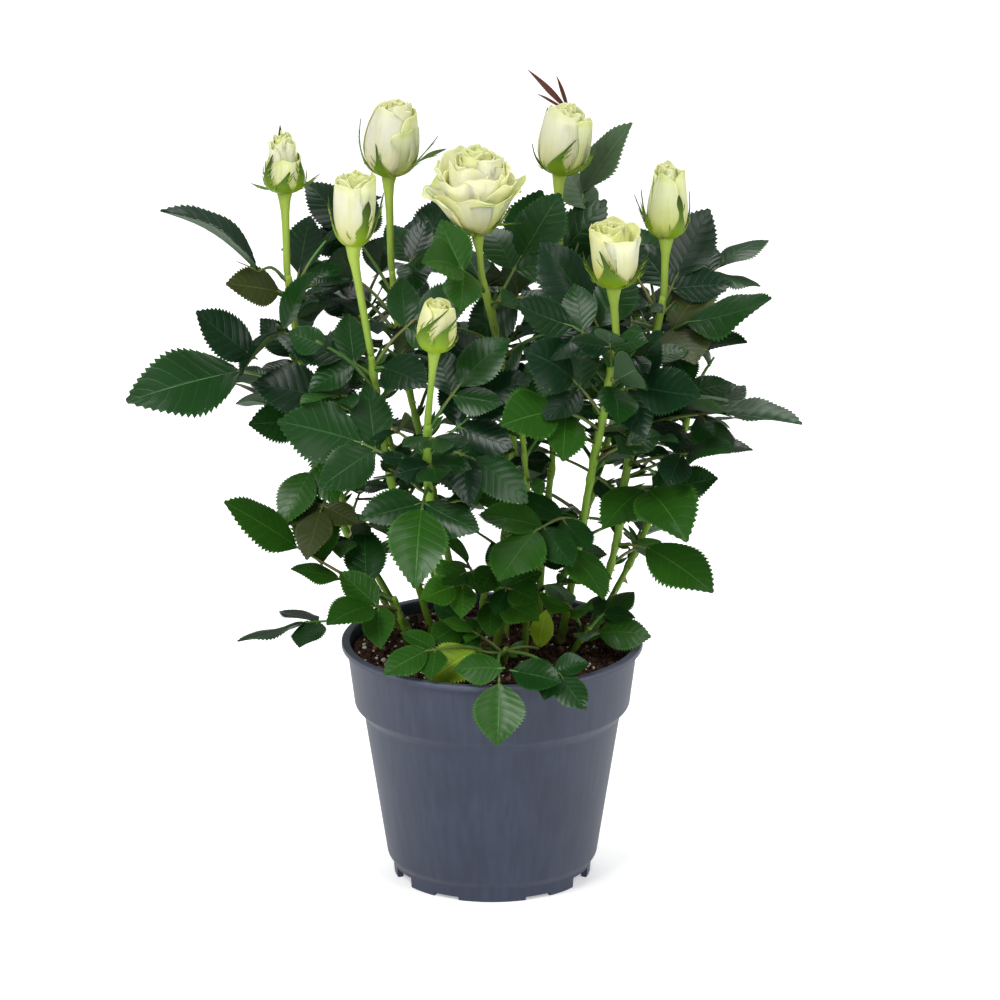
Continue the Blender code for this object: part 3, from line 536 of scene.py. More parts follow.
def scatter(count, seed, sizes, squash):
    """Lumps thrown on the soil: seeded, lying a third sunk in it."""
    draw, pile = random.Random(seed), Pile()
    for _ in range(count):
        out = (soil_radius - 2) * math.sqrt(draw.random())
        way = draw.uniform(0, 2 * math.pi)
        above = Vector((out * math.cos(way), out * math.sin(way), 130)) * MM
        spot = ground.ray_cast(above, -UP)[0]
        size = draw.uniform(*sizes) * (1.6 if draw.random() < 0.12 else 1)
        turn = Quaternion([draw.gauss(0, 1) for _ in range(4)]).normalized()
        scale = [size * draw.uniform(squash, 1), size * draw.uniform(squash, 1), size]
        pile.add(lump, turn_points(lump.points * scale, turn) + np.array(spot / MM) + (0, 0, size * 0.3))
    return pile.make()


finish_piece(scatter(CRUMBS, "crumbs", (0.5, 1.6), 0.5), "peat_crumbs", [peat], smooth_angle=50)

# %% [markdown]
# Perlite is a volcanic glass that was puffed up by heat: white, chalky, full of pores. Bark chips
# are flat brown splinters. Each gets its own plain material with a pore or fibre pattern.

# %% Perlite and bark chips
PORE, BARK_FIBRE = 0.35, 1.5  # mm, both drawn coarse enough to show
perlite, add, shader, place = new_finish("puffed_perlite", Roughness=0.9)
pores = add("TexVoronoi", {"Vector": place, "Scale": 1 / (PORE * MM)})["Distance"]
white = add("ValToRGB", {"Fac": pores}, ramp=((0, "#efece4"), (1, "#b9ae9d")))["Color"]
bump = add("Bump", {"Height": pores, "Strength": 0.5, "Distance": 0.0002})["Normal"]
set_shader(shader, Base_Color=white, Normal=bump)
finish_piece(scatter(GRAINS, "grains", (0.35, 1.05), 0.6), "perlite_grains", [perlite],
             smooth_angle=50)

chip_bark, add, shader, place = new_finish("shredded_bark", Roughness=0.85)
drawn = add("Mapping", {"Vector": place, "Scale": (1, 5, 1)})["Vector"]
fibre = add("TexNoise", {"Vector": drawn, "Scale": 1 / (BARK_FIBRE * MM), "Detail": 3.0})["Fac"]
browns = add("ValToRGB", {"Fac": fibre}, ramp=((0, "#3c2416"), (1, "#8a6544")))["Color"]
set_shader(shader, Base_Color=browns)
finish_piece(scatter(CHIPS, "chips", (1.2, 2.6), 0.22), "bark_chips", [chip_bark], smooth_angle=50)

# %% [markdown]
# ## How the bush grows
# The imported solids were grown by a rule: nineteen shoots rise from the soil and carry compound
# leaves. The same rule with the same seeds is written again here, so that a fine leaf lands where
# its plain one is. Sizes are in mm and angles in degrees. First come the shoots, as points that a
# smooth line passes.

# %% Shoots
CLEAR = 0.3  # between a solid cane's foot and the soil
CANE_STEP = 14.0  # length of a solid cane's pieces
SHOOTS = {  # points of its line, height where its leaves begin, radius at foot and tip, leaves by rule
    "front_left": (((-20, 8, 98), (-24, -20, 148), (-27, -43, 190), (-27, -53, 218)), 178, 2.3, 1.9, 4),
    "front_right": (((30, 14, 98), (36, -3, 142), (43, -24, 192), (49, -34, 228), (52, -38, 250)),
                    150, 2.5, 1.9, 4),
    "left": (((-26, 18, 98), (-40, 2, 160), (-47, -16, 205), (-51, -26, 240)), 168, 2.2, 1.8, 6),
    "centre": (((2, 4, 98), (8, 6, 150), (9, 6, 190), (2, -1, 240), (-4, -8, 268)), 172, 2.6, 1.9, 6),
    "right": (((42, 14, 98), (53, 3, 146), (57, 6, 175), (67, 9, 225), (73, 10, 256)),
              141, 2.3, 1.8, 3),
    "rear_right": (((20, 24, 98), (22, 27, 140), (27, 30, 190), (29, 37, 262)), 172, 2.3, 1.7, 6),
    "rear_left": (((-12, 26, 98), (-25, 30, 160), (-38, 29, 220), (-43, 29, 262)), 165, 2.3, 1.7, 6),
    "far_left": (((-34, 12, 98), (-56, 19, 140), (-68, 20, 172), (-80, 12, 215), (-87, 8, 266)),
                 160, 2.1, 1.7, 4),
    "low_left": (((-36, -4, 98), (-38, -8, 112), (-42, -12, 128)), 106, 1.7, 1.5, 0),
    "low_middle": (((-6, -14, 98), (-5, -17, 120), (-1, -20, 146)), 104, 1.8, 1.5, 0),
    "low_back": (((6, 26, 98), (8, 34, 120), (12, 44, 146)), 104, 1.8, 1.5, 5),
    "low_front": (((4, -24, 98), (5, -30, 106), (6, -37, 113)), 103, 1.7, 1.5, 0),
    "low_right": (((34, -10, 98), (37, -14, 108), (42, -17, 116)), 104, 1.6, 1.4, 1),
    "back": (((4, 36, 98), (6, 50, 160), (6, 60, 215), (4, 64, 246)), 135, 2.3, 1.8, 6),
    "back_left": (((-18, 36, 98), (-36, 50, 150), (-52, 58, 205), (-58, 60, 240)), 132, 2.1, 1.7, 8),
    "back_right": (((24, 36, 98), (42, 50, 150), (56, 58, 200), (64, 62, 236)), 132, 2.1, 1.7, 8),
    "side_right": (((44, 22, 98), (64, 28, 140), (80, 34, 180), (90, 38, 212)), 128, 2.0, 1.6, 6),
    "side_left": (((-40, 24, 98), (-62, 34, 140), (-78, 40, 178), (-86, 44, 212)), 128, 2.0, 1.6, 6),
    "middle": (((14, -6, 98), (16, -14, 150), (14, -20, 190), (12, -26, 214)), 140, 2.1, 1.7, 5),
}
FLOWERING = [name for name in SHOOTS if "rose_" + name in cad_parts]
print(len(SHOOTS), "shoots,", len(FLOWERING), "of them flower")

# %% [markdown]
# Straight pieces between those points would show their corners. So a smooth line runs through
# them, and every place on a shoot is read off that line.

# %% Smooth lines
CURVE_STEPS = 12
FIRST_RISE = 3  # a shoot leaves the soil upright for so far
LINE_STEPS = 40


def smooth_line(points, count):
    """count + 1 points evenly spread on a Catmull-Rom curve through the given ones."""
    knots = [Vector(p) for p in points]
    knots = [2 * knots[0] - knots[1], *knots, 2 * knots[-1] - knots[-2]]
    fine = []
    for a, b, c, d in zip(knots, knots[1:], knots[2:], knots[3:]):
        for t in [step / CURVE_STEPS for step in range(CURVE_STEPS)]:
            fine.append(0.5 * (2 * b + (c - a) * t + (2 * a - 5 * b + 4 * c - d) * t * t
                               + (3 * b - a - 3 * c + d) * t ** 3))
    fine.append(knots[-2])
    return spread(fine, count)


def spread(points, count):
    """The line through the points, as count + 1 points at even distances."""
    lengths = [0.0]
    for a, b in zip(points, points[1:]):
        lengths.append(lengths[-1] + (b - a).length)
    made, at = [], 0
    for step in range(count + 1):
        goal = lengths[-1] * step / count
        while at < len(points) - 2 and lengths[at + 1] < goal:
            at += 1
        share = (goal - lengths[at]) / (lengths[at + 1] - lengths[at])
        made.append(points[at].lerp(points[at + 1], min(1, share)))
    return made


def at_height(line, height):
    """The point of a rising line at that height, and the line's direction there."""
    for a, b in zip(line, line[1:]):
        if b.z >= height:
            return a.lerp(b, (height - a.z) / (b.z - a.z)), (b - a).normalized()
    return line[-1].copy(), (line[-1] - line[-2]).normalized()


def between_heights(line, low, high):
    """The part of a rising line between two heights."""
    inner = [p for p in line if low < p.z < high]
    return [at_height(line, low)[0], *inner, at_height(line, high)[0]]


lines = {}
for name, (points, *_) in SHOOTS.items():
    first = Vector(points[0]) + UP * CLEAR
    lines[name] = smooth_line([first, first + UP * FIRST_RISE, *points[1:]], LINE_STEPS)
print("longest shoot, mm:", round(max(line[-1].z for line in lines.values())))

# %% [markdown]
# A rose leaf is compound: an end leaflet on a thin rib with one or two pairs of side leaflets. A
# Blade is one leaflet, and a Leaf works out its rib and blades from the joint, the tip and a nod.

# %% Blades and leaves
LEAF_WIDTH = 0.64  # share of a leaflet's length
RIB_STEPS = 2
FINE_STEPS = 24  # of the same rib, to find where its pairs stand
HALVINGS = 20  # to find where the end leaflet begins
BARE_RIB = 5  # shortest piece between the stem and a pair
SUNK = 1.2  # how far an end leaflet starts inside its rib
SHORTEST_RIB = 7
PAIR_BACK = (0.2, 0.5)  # how far the first pair stands back from the end leaflet, and each further one
PAIR_SIZES = (0.8, 0.66)  # both in shares of the end leaflet's length
PAIR_ANGLES = (58, 67)  # between a side leaflet and the rib


class Blade:
    """One leaflet: where it starts, where it points, which way its upper side faces, its size."""

    def __init__(self, root, direction, face, length, width=LEAF_WIDTH):
        self.root, self.length, self.width = root, length, width
        self.direction = direction.normalized()
        side = self.direction.cross(face).normalized()
        self.side, self.face = side, side.cross(self.direction)

    def point(self, along, across, lift):
        """A point given in shares of the blade's length, and a lift in mm."""
        place = self.direction * along + self.side * across
        return self.root + place * self.length + self.face * lift


class Leaf:
    """One compound leaf: its midrib from the stem to the end leaflet, and its blades."""

    def __init__(self, joint, tip, length, pairs, face, nod, bare=0, width=LEAF_WIDTH):
        chord = tip - joint
        length = min(length, chord.length - SHORTEST_RIB)
        side = chord.cross(UP).normalized()
        lift = side.cross(chord).normalized()
        crest = joint + chord / 2 + lift * (chord.length / 2 * math.tan(math.radians(nod)))
        self.joint, self.tip, self.length = joint, tip, length

        def on(t):
            """A point of the arc from the joint to the tip."""
            return joint * (1 - t) ** 2 + crest * (2 * t * (1 - t)) + tip * t * t

        low, high = 0.0, 1.0
        for _ in range(HALVINGS):
            t = (low + high) / 2
            low, high = (t, high) if (tip - on(t)).length > length else (low, t)
        self.rib = spread([on(low * k / 8) for k in range(9)], RIB_STEPS)
        ahead = (tip - self.rib[-1]).normalized()
        self.blades = [Blade(self.rib[-1] - ahead * SUNK, ahead, face, length + SUNK, width)]
        rib_length = sum((b - a).length for a, b in zip(self.rib, self.rib[1:]))
        fine = spread(self.rib, FINE_STEPS)
        for pair in range(pairs):
            back = length * (PAIR_BACK[0] + PAIR_BACK[1] * pair)
            if back > rib_length - BARE_RIB:
                break
            place = FINE_STEPS * (1 - back / rib_length)
            before, after = fine[int(place)], fine[min(FINE_STEPS, int(place) + 1)]
            root = before.lerp(after, place % 1)
            along = (after - fine[int(place) - 1]).normalized()
            size = length * PAIR_SIZES[pair]
            for hand in [side for side in (-1, 1) if side != bare]:
                outward = along.cross(face).normalized() * hand
                angle = math.radians(PAIR_ANGLES[pair])
                way = along * math.cos(angle) + outward * math.sin(angle) - face * 0.12
                self.blades.append(Blade(root - way * SUNK / 3, way, face, size + SUNK / 3, width))


print("a leaf's rib keeps", RIB_STEPS + 1, "points")

# %% [markdown]
# A new leaf must not touch what is already there. Plain stand-ins are enough to test that: a
# folded diamond for a blade and a three-sided tube for a twig.

# %% Plain shapes to test with
SMALL_OUTLINE = ((0, 0), (0.42, 1.1), (1, 0), (0.42, -1.1))  # along, in lengths; across, in half widths
LARGE_OUTLINE = ((0, 0), (0.3, 1), (0.7, 0.8), (1, 0), (0.7, -0.8), (0.3, -1))
LARGE_BLADE = 24.0  # shortest leaflet with the large outline
RIB_AT = 0.46  # where the body is thickest
FOLD = 0.05  # how deep the fold is, in lengths
BLADE_THICK = 1.2


def closed(bm):
    """The shape in triangles that face outward."""
    bmesh.ops.triangulate(bm, faces=bm.faces)
    bmesh.ops.recalc_face_normals(bm, faces=bm.faces)
    return bm


def blade_mesh(blade, swell=0.0):
    """A flat leaf body of 8 or 12 faces, folded along its rib; swell makes it thicker, mm."""
    outline = LARGE_OUTLINE if blade.length > LARGE_BLADE else SMALL_OUTLINE
    corners = len(outline)
    bm = bmesh.new()
    bmesh.ops.create_uvsphere(bm, u_segments=corners, v_segments=2, radius=1)
    half = blade.width / 2
    for vert in bm.verts:
        if abs(vert.co.z) > 0.5:
            level = math.copysign(BLADE_THICK / 2 + swell, vert.co.z)
            vert.co = blade.point(RIB_AT, 0, level - FOLD * blade.length)
            continue
        corner = round(math.atan2(vert.co.y, vert.co.x) / (2 * math.pi) * corners) % corners
        along, across = outline[corner]
        lift = 0 if across else -FOLD * blade.length * (0.2 if corner == 0 else 0.9)
        vert.co = blade.point(along, -across * half, lift)
    return closed(bm)


class Tube:
    """A tube along a line as arrays, with its map running round and along it."""

    def __init__(self, line, radii, sides):
        rings, spin = [], None
        for k, point in enumerate(line):
            ahead = (line[min(k + 1, len(line) - 1)] - line[max(k - 1, 0)]).normalized()
            spin = ahead.cross(spin or Vector((1, -0.3, 0))).cross(ahead).normalized()
            turns = np.arange(sides) * 2 * np.pi / sides
            ring = np.outer(np.cos(turns), spin) + np.outer(np.sin(turns), ahead.cross(spin))
            rings.append(np.array(point) + ring * radii[k])
        self.points = np.concatenate(rings)
        self.faces = [(k * sides + a, k * sides + (a + 1) % sides,
                       (k + 1) * sides + (a + 1) % sides, (k + 1) * sides + a)
                      for k in range(len(line) - 1) for a in range(sides)]
        self.faces += [tuple(range(sides))[::-1],
                       tuple(range((len(line) - 1) * sides, len(line) * sides))]
        self.map = np.array([(a / sides, k / (len(line) - 1))
                             for k in range(len(line)) for a in range(sides)])


def twig_mesh(line, radii, sides=3):
    """A tapering twig of few sides, closed at both ends."""
    tube, bm = Tube(line, radii, sides), bmesh.new()
    corners = [bm.verts.new(point) for point in tube.points]
    for face in tube.faces:
        bm.faces.new([corners[k] for k in face])
    return closed(bm)


print("test shapes: blades of", len(SMALL_OUTLINE), "or", len(LARGE_OUTLINE), "corners")

# %% [markdown]
# What is built is kept as search trees of its faces, to test each new stand-in against. The pot,
# the soil, the stems and the roses are there before any leaf.

# %% The space that is taken
def box_of(bm):
    """The shape's low and high corner."""
    places = [v.co for v in bm.verts]
    low = Vector([min(p[k] for p in places) for k in range(3)])
    high = Vector([max(p[k] for p in places) for k in range(3)])
    return low, high


class Space:
    """What is already built, so that a new blade or twig can keep clear of it."""

    def __init__(self):
        self.kept = []

    def add(self, owner, bm):
        """Remembers the shape by its owner's name and frees it."""
        low, high = box_of(bm)
        self.kept.append((owner, low, high, BVHTree.FromBMesh(bm)))
        bm.free()

    def free(self, bm, skip=()):
        """True if the shape touches nothing but what skip names."""
        low, high = box_of(bm)
        tree = BVHTree.FromBMesh(bm)
        for other, other_low, other_high, other_tree in self.kept:
            if other in skip:
                continue
            if any(low[k] > other_high[k] or high[k] < other_low[k] for k in range(3)):
                continue
            if tree.overlap(other_tree):
                return False
        return True


def of_node(node):
    """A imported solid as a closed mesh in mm."""
    bm = bmesh.new()
    bm.from_mesh(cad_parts[node].data)
    bmesh.ops.remove_doubles(bm, verts=bm.verts, dist=1e-7)
    bmesh.ops.scale(bm, vec=(1 / MM,) * 3, verts=bm.verts)
    return bm


space = Space()
for node in ("pot", "soil"):
    space.add(node, of_node(node))
for name, (_, cane_end, foot_radius, tip_radius, _) in SHOOTS.items():
    line = lines[name]
    bare = between_heights(line, line[0].z, cane_end)
    cane = [line[0], line[0] + UP * 1.5, *spread(bare, max(2, round((cane_end - line[0].z) / CANE_STEP)))[1:]]
    space.add(name + " cane", twig_mesh(cane, [foot_radius + 0.2] * len(cane), 6))
    stem = between_heights(line, cane_end, line[-1].z)
    space.add(name + " stem", twig_mesh(stem, [tip_radius] * len(stem), 4))
for name in FLOWERING:
    space.add(name + " rose", of_node("rose_" + name))
print("obstacles before the first leaf:", len(space.kept))

# %% [markdown]
# Leaves that give the crown its outline have a set place: the joint's height on its stem, the
# tip, the end leaflet's length, the pairs of side leaflets, how far the upper side leans to the
# front, the nod, and a bare side where a pair is missing.

# %% Leaves with a set place
PLACED = {
    "front_left": (
        (190, (-90, -45, 217), 36, 1, 60, 15), (186, (-32, -95, 160), 36, 2, 45, 38),
        (208, (15, -62, 186), 29, 1, 45, 22), (214, (3, -50, 257), 33, 1, 45, 12),
        (202, (17, -44, 237), 32, 1, 45, 10),
    ),
    "front_right": (
        (224, (85, -66, 238), 38, 1, 45, 20), (214, (14, -62, 253), 33, 1, 45, 15),
        (208, (4, -74, 224), 34, 1, 45, 25), (238, (21, -22, 289), 36, 1, 45, 15),
        (243, (8, -46, 268), 30, 1, 40, 12), (162, (3, -76, 157), 34, 2, 36, 30),
        (232, (68, -52, 260), 22, 1, 40, 10),
    ),
    "left": (
        (230, (-91, -22, 247), 29, 1, 50, 15), (234, (-28, -52, 235), 34, 1, 45, 15),
        (205, (-102, -12, 224), 32, 1, 45, 15), (200, (-65, -26, 181), 30, 1, 55, 12),
    ),
    "centre": (
        (262, (-28, -52, 289), 30, 1, 50, 15), (252, (29, 26, 297), 33, 1, 40, 5),
        (256, (27, -38, 273), 27, 1, 40, 20),
    ),
    "right": (
        (250, (93, 34, 288), 33, 1, 45, 0), (247, (119, 46, 271), 28, 1, 30, 12),
        (244, (60, 38, 281), 28, 1, 45, 8), (236, (118, -15, 262), 42, 1, 24, 12),
        (226, (108, -12, 242), 31, 1, 32, 15), (213, (102, -40, 254), 28, 1, 40, 5),
        (198, (132, -10, 205), 37, 2, 18, 18), (182, (102, -44, 212), 29, 1, 42, 5),
        (176, (112, 12, 187), 26, 1, 20, 15), (170, (82, -56, 167), 40, 1, 38, 30),
        (147, (94, -32, 137), 38, 1, 30, 25, 1), (206, (103, 22, 214), 22, 1, 35, 5),
        (160, (99, -10, 180), 26, 1, 38, 12),
    ),
    "rear_right": (
        (253, (60, 58, 319), 34, 1, 20, 0), (246, (54, 44, 297), 26, 1, 40, 5),
        (240, (20, 54, 290), 28, 1, 45, 0),
    ),
    "rear_left": (
        (250, (-80, 46, 297), 28, 1, 35, 10), (254, (-19, 0, 288), 30, 1, 40, 18),
        (248, (-18, 50, 290), 28, 1, 45, 5),
    ),
    "far_left": (
        (262, (-142, -6, 301), 46, 0, 16, 14), (256, (-112, -8, 267), 26, 1, 40, 10),
        (250, (-78, 32, 286), 26, 1, 45, 5), (212, (-155, -20, 218), 52, 2, 50, 30, -1),
        (222, (-100, 16, 244), 22, 1, 40, 0), (194, (-104, 4, 201), 26, 1, 35, 15),
        (184, (-90, -4, 158), 26, 1, 35, 12), (170, (-76, -22, 146), 28, 1, 50, 20),
    ),
    "low_left": (
        (126, (-115, -22, 173), 44, 2, 26, 0, -1), (122, (-70, -46, 127), 28, 1, 48, 20),
        (112, (-109, -26, 113), 30, 1, 4, 20), (118, (-84, -18, 138), 20, 0, 40, 10),
    ),
    "low_middle": (
        (142, (14, -50, 152), 24, 1, 40, 15), (136, (-30, -46, 141), 22, 1, 40, 15),
        (128, (20, -44, 128), 24, 1, 45, 15), (120, (-26, -42, 118), 20, 1, 45, 15),
        (132, (24, -2, 152), 24, 1, 45, 10),
    ),
    "low_front": (
        (111, (0, -80, 85), 29, 1, 60, 46), (112, (44, -66, 98), 23, 1, 45, 30),
        (107, (-46, -60, 104), 22, 1, 40, 30), (110, (-28, -52, 108), 20, 0, 45, 20),
        (112, (22, -30, 124), 15, 0, 50, 0),
    ),
    "low_right": (
        (110, (68, -18, 113), 22, 1, 35, 20), (113, (40, -40, 118), 20, 1, 45, 15),
        (115, (62, 4, 126), 20, 1, 30, 10),
    ),
}
YOUNG_TIP = (232, (23, 69, 344), 14, 2, 45, -8)
YOUNG_WIDTH = 0.34
YOUNG_FOOT = Vector((33, 66, 323))
YOUNG_FAN = ((15.5, 68, 341), (20, 62, 332), (28, 64, 339))  # tips of its three narrow leaflets
YOUNG_NARROW = 0.12
print("leaves with a set place:", sum(map(len, PLACED.values())))

# %% [markdown]
# A leaf is tried in its place and then turned a little, up to nine times, and the fullest version
# stays. Every draw is seeded by the leaf's own name, so one leaf's luck never changes another's.

# %% Try a leaf and settle it
LEAF_CLEAR = 0.45
LOWEST_LEAF = 30.0
IN_STEM = 3.0  # first part of a rib, which may touch its stem
TRIES = 9


def rib_radii(leaf):
    """Radii of the solid rib, from its joint to the end leaflet."""
    return [1.15 - 0.35 * k / (len(leaf.rib) - 1) for k in range(len(leaf.rib))]


def try_leaf(owner, leaf):
    """The blades that fit; none where the rib or the end leaflet would touch something."""
    first = leaf.rib[0] + (leaf.rib[1] - leaf.rib[0]).normalized() * IN_STEM
    tested = twig_mesh([first, *leaf.rib[1:]], [r + LEAF_CLEAR for r in rib_radii(leaf)])
    clear = space.free(tested, (owner + " stem",))
    tested.free()
    if not clear:
        return []
    kept = []
    for blade in leaf.blades:
        tested = blade_mesh(blade, LEAF_CLEAR)
        if min(v.co.z for v in tested.verts) > LOWEST_LEAF and space.free(tested):
            kept.append(blade)
        tested.free()
    return kept if leaf.blades[0] in kept else []


def settle_leaf(owner, index, joint, tip, length, pairs, face, nod, bare=0, width=LEAF_WIDTH,
                tries=TRIES, loose=1.0):
    """Tries the leaf in its place and then turned a little, and keeps the fullest version."""
    best, best_blades = None, []
    draw = random.Random(f"{owner} {index}")
    for attempt in range(tries):
        reach, turned_face, share = tip - joint, face.copy(), 1
        if attempt:
            reach.rotate(Quaternion(UP, math.radians(draw.uniform(-9, 9) * loose)))
            tilt = math.radians(draw.uniform(-7, 7) * loose)
            reach.rotate(Quaternion(reach.cross(UP).normalized(), tilt))
            roll = math.radians(draw.uniform(-20, 20) * loose)
            turned_face.rotate(Quaternion(reach.normalized(), roll))
            share = draw.uniform(0.82, 1)
        leaf = Leaf(joint, joint + reach, length * share, pairs, turned_face, nod, bare, width)
        blades = try_leaf(owner, leaf)
        if len(blades) > len(best_blades):
            best, best_blades = leaf, blades
        if len(best_blades) == len(leaf.blades):
            break
    if not best:
        return None
    best.missing = [blade for blade in best.blades if blade not in best_blades]
    best.blades, best.owner, best.index = best_blades, owner, index
    for built in (twig_mesh(best.rib, rib_radii(best)), *map(blade_mesh, best_blades)):
        space.add(f"{owner} {index}", built)
    return best


print("a leaf gets", TRIES, "tries")

# %% [markdown]
# The other leaves follow the rule alone: up the stem by even steps, turned 144 degrees each,
# steeper and shorter towards the top, and never outside the crown's egg.

# %% Grow every leaf of the source
SOIL_LEVEL = 98.0
LEAF_TURN = 144
SHORTEST_REACH = 38.0  # from the stem to a leaf's tip
LOW_REACH = 0.45  # of a full reach, for a shoot that ends at the soil
CROWN_MIDDLE = Vector((-6, 2, 205))
CROWN_HALF = Vector((132, 122, 104))


def in_crown(point):
    """True inside the egg that holds all leaves without a set place."""
    off = point - CROWN_MIDDLE
    return sum((off[k] / CROWN_HALF[k]) ** 2 for k in range(3)) < 1


def towards(heading, lift):
    """The direction of a heading round the plant and a lift over the level, both in radians."""
    return Vector((math.cos(heading), math.sin(heading), 0)) * math.cos(lift) + UP * math.sin(lift)


def leaning(way, degrees):
    """The direction that leans from straight up towards a level one by so many degrees."""
    return UP * math.cos(math.radians(degrees)) + way * math.sin(math.radians(degrees))


def ruled_leaves(owner, line, first_height, count):
    """Joint, tip, blade length, pairs, face and nod of the leaves that the rule gives a stem."""
    top = line[-1].z
    full = LOW_REACH + (1 - LOW_REACH) * min(1, (top - SOIL_LEVEL) / 120)
    turn = random.Random(owner).uniform(0, 360)
    for k in range(count):
        draw = random.Random(f"{owner} rule {k}")
        share = (k + 0.6) / count
        height = first_height + 6 + (top - first_height - 8) * share
        joint = at_height(line, height)[0]
        heading = math.radians(turn + LEAF_TURN * k + draw.uniform(-14, 14))
        lift = math.radians(4 + 42 * share + draw.uniform(-9, 9))
        reach = full * (74 - 16 * share) * draw.uniform(0.88, 1.08)
        way = towards(heading, lift)
        while reach > SHORTEST_REACH and not in_crown(joint + way * reach):
            reach -= 4
        if in_crown(joint + way * reach):
            tip = joint + way * reach
            outward = Vector((tip.x - CROWN_MIDDLE.x, tip.y - CROWN_MIDDLE.y, 0)).normalized()
            face = leaning(outward, draw.uniform(24, 52))
            yield joint, tip, reach * draw.uniform(0.46, 0.58), 1, face, 24


leaves, lost = [], []
for name, rows in PLACED.items():
    for index, (height, tip, length, pairs, lean, *droop) in enumerate(rows):
        joint, face = at_height(lines[name], height)[0], leaning(FRONT, lean)
        row = (joint, Vector(tip), length, pairs, face, *droop)
        leaves.append(settle_leaf(name, index, *row))
        if not leaves[-1]:
            lost.append((name, index, row))
height, tip, length, pairs, lean, nod = YOUNG_TIP
young = settle_leaf("rear_right", "young", at_height(lines["rear_right"], height)[0], Vector(tip),
                    length, pairs, leaning(FRONT, lean), nod, width=YOUNG_WIDTH)
for name, (_, cane_end, _, _, count) in SHOOTS.items():
    for index, row in enumerate(ruled_leaves(name, lines[name], cane_end, count)):
        leaves.append(settle_leaf(name, f"rule {index}", *row))
leaves = [leaf for leaf in leaves if leaf]
young.rib = spread([*young.rib[:2], YOUNG_FOOT], RIB_STEPS)
young.blades = [Blade(YOUNG_FOOT, Vector(tip) - YOUNG_FOOT, leaning(FRONT, 40),
                      (Vector(tip) - YOUNG_FOOT).length, YOUNG_NARROW) for tip in YOUNG_FAN]
print("compound leaves:", len(leaves), "leaflets:", sum(len(leaf.blades) for leaf in leaves),
      "no room for:", [(name, index) for name, index, _ in lost])

# %% [markdown]
# ## Finer growth
# The living plant also has small leaves from the axils, and side leaflets that the plain ones had
# no room for. They follow the same rule at a smaller size, and stay out of the openings where one
# sees through the crown.

# %% Openings to keep
OPENINGS = (  # x, height seen over the pot's foot line, half width and half height, mm
    (35, 180, 7, 13), (50, 157, 3.5, 9), (-1, 148, 4, 9), (-27, 210, 5, 8), (-49, 210, 3.5, 8),
    (-57, 184, 7, 3), (-43, 136, 4, 6), (-63, 247, 2.5, 3), (-97, 192, 9, 8), (-101, 176, 18, 7),
    (96.5, 164, 10.5, 11), (108, 235, 7, 10),
)
CLEARED = (  # the same, for side leaflets of every leaf
    (92, 167, 6, 12), (-100, 249, 7, 7), (-93, 258, 7, 5), (60, 300, 7, 4), (-88, 180, 8, 6),
    (-97, 199, 8, 5),
)
SEEN_RISE = 0.33  # how much higher a point looks for each mm that it lies further back


def in_opening(blade, openings=OPENINGS + CLEARED):
    """True if a blade would close an opening that the crown keeps towards the front."""
    for along in (0.1, 0.4, 0.7, 1.0):
        for across in (-0.25, 0, 0.25):
            point = blade.point(along, across, 0)
            seen = point.z + SEEN_RISE * point.y
            if any(abs(point.x - x) < wide and abs(seen - z) < high for x, z, wide, high in openings):
                return True
    return False


def within_box(blade):
    """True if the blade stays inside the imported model's box."""
    tip = (blade.root + blade.direction * blade.length) * MM
    return all(cad_low[k] < tip[k] < cad_high[k] for k in range(3))


print("openings kept:", len(OPENINGS + CLEARED))

# %% [markdown]
# Leaves that found no room get more tries, missing leaflets come back smaller, and small leaves
# fill in along the stems, a golden angle apart.

# %% Small leaves and missing leaflets
SIDE_STEP = 9.0  # mm of stem for each pair of small leaves
LOWEST_SIDE = 128.0
GOLDEN = 137.5  # degrees from one growth to the next, the angle that spreads them most evenly
PATIENT_TRIES = 36  # for a leaf with a set place that found no room at first
SMALL_TRIES = 5
SMALL_CLEAR = 0.1

for name, index, row in lost:
    made = settle_leaf(name, index, *row, tries=PATIENT_TRIES, loose=2.0)
    if made:
        leaves.append(made)
for leaf in leaves:
    draw = random.Random(f"missing {leaf.owner} {leaf.index}")
    for blade in leaf.missing:
        for _ in range(SMALL_TRIES):
            way, face = blade.direction.copy(), blade.face.copy()
            way.rotate(Quaternion(face, math.radians(draw.uniform(-25, 25))))
            face.rotate(Quaternion(way, math.radians(draw.uniform(-45, 45))))
            small = Blade(blade.root, way, face, blade.length * draw.uniform(0.55, 0.85))
            tested = blade_mesh(small, SMALL_CLEAR)
            if space.free(tested) and not in_opening(small):
                leaf.blades.append(small)
                space.add(f"{leaf.owner} {leaf.index}", tested)
                break
            tested.free()

side_leaves = []
for name, (_, cane_end, _, _, _) in SHOOTS.items():
    line, draw = lines[name], random.Random(f"{name} side")
    first = max(LOWEST_SIDE, cane_end - 14)
    turn = draw.uniform(0, 360)
    for k in range(max(2, int((line[-1].z - first) / SIDE_STEP) * 2)):
        share = draw.uniform(0, 1)
        height = min(first, line[-1].z - 4) + max(0, line[-1].z - first - 4) * share
        joint = at_height(line, height)[0]
        heading = math.radians(turn + GOLDEN * k + draw.uniform(-20, 20))
        way = towards(heading, math.radians(draw.uniform(0, 50)))
        reach = draw.uniform(26, 46)
        face = leaning(Vector((way.x, way.y, 0)).normalized(), draw.uniform(15, 55))
        if not in_crown(joint + way * reach):
            continue
        made = settle_leaf(name, f"side {k}", joint, joint + way * reach, reach * 0.5, 1, face, 16,
                           tries=4, loose=1.5)
        if made:
            made.blades = [blade for blade in made.blades if within_box(blade)]
            side_leaves.append(made)
leaves += side_leaves
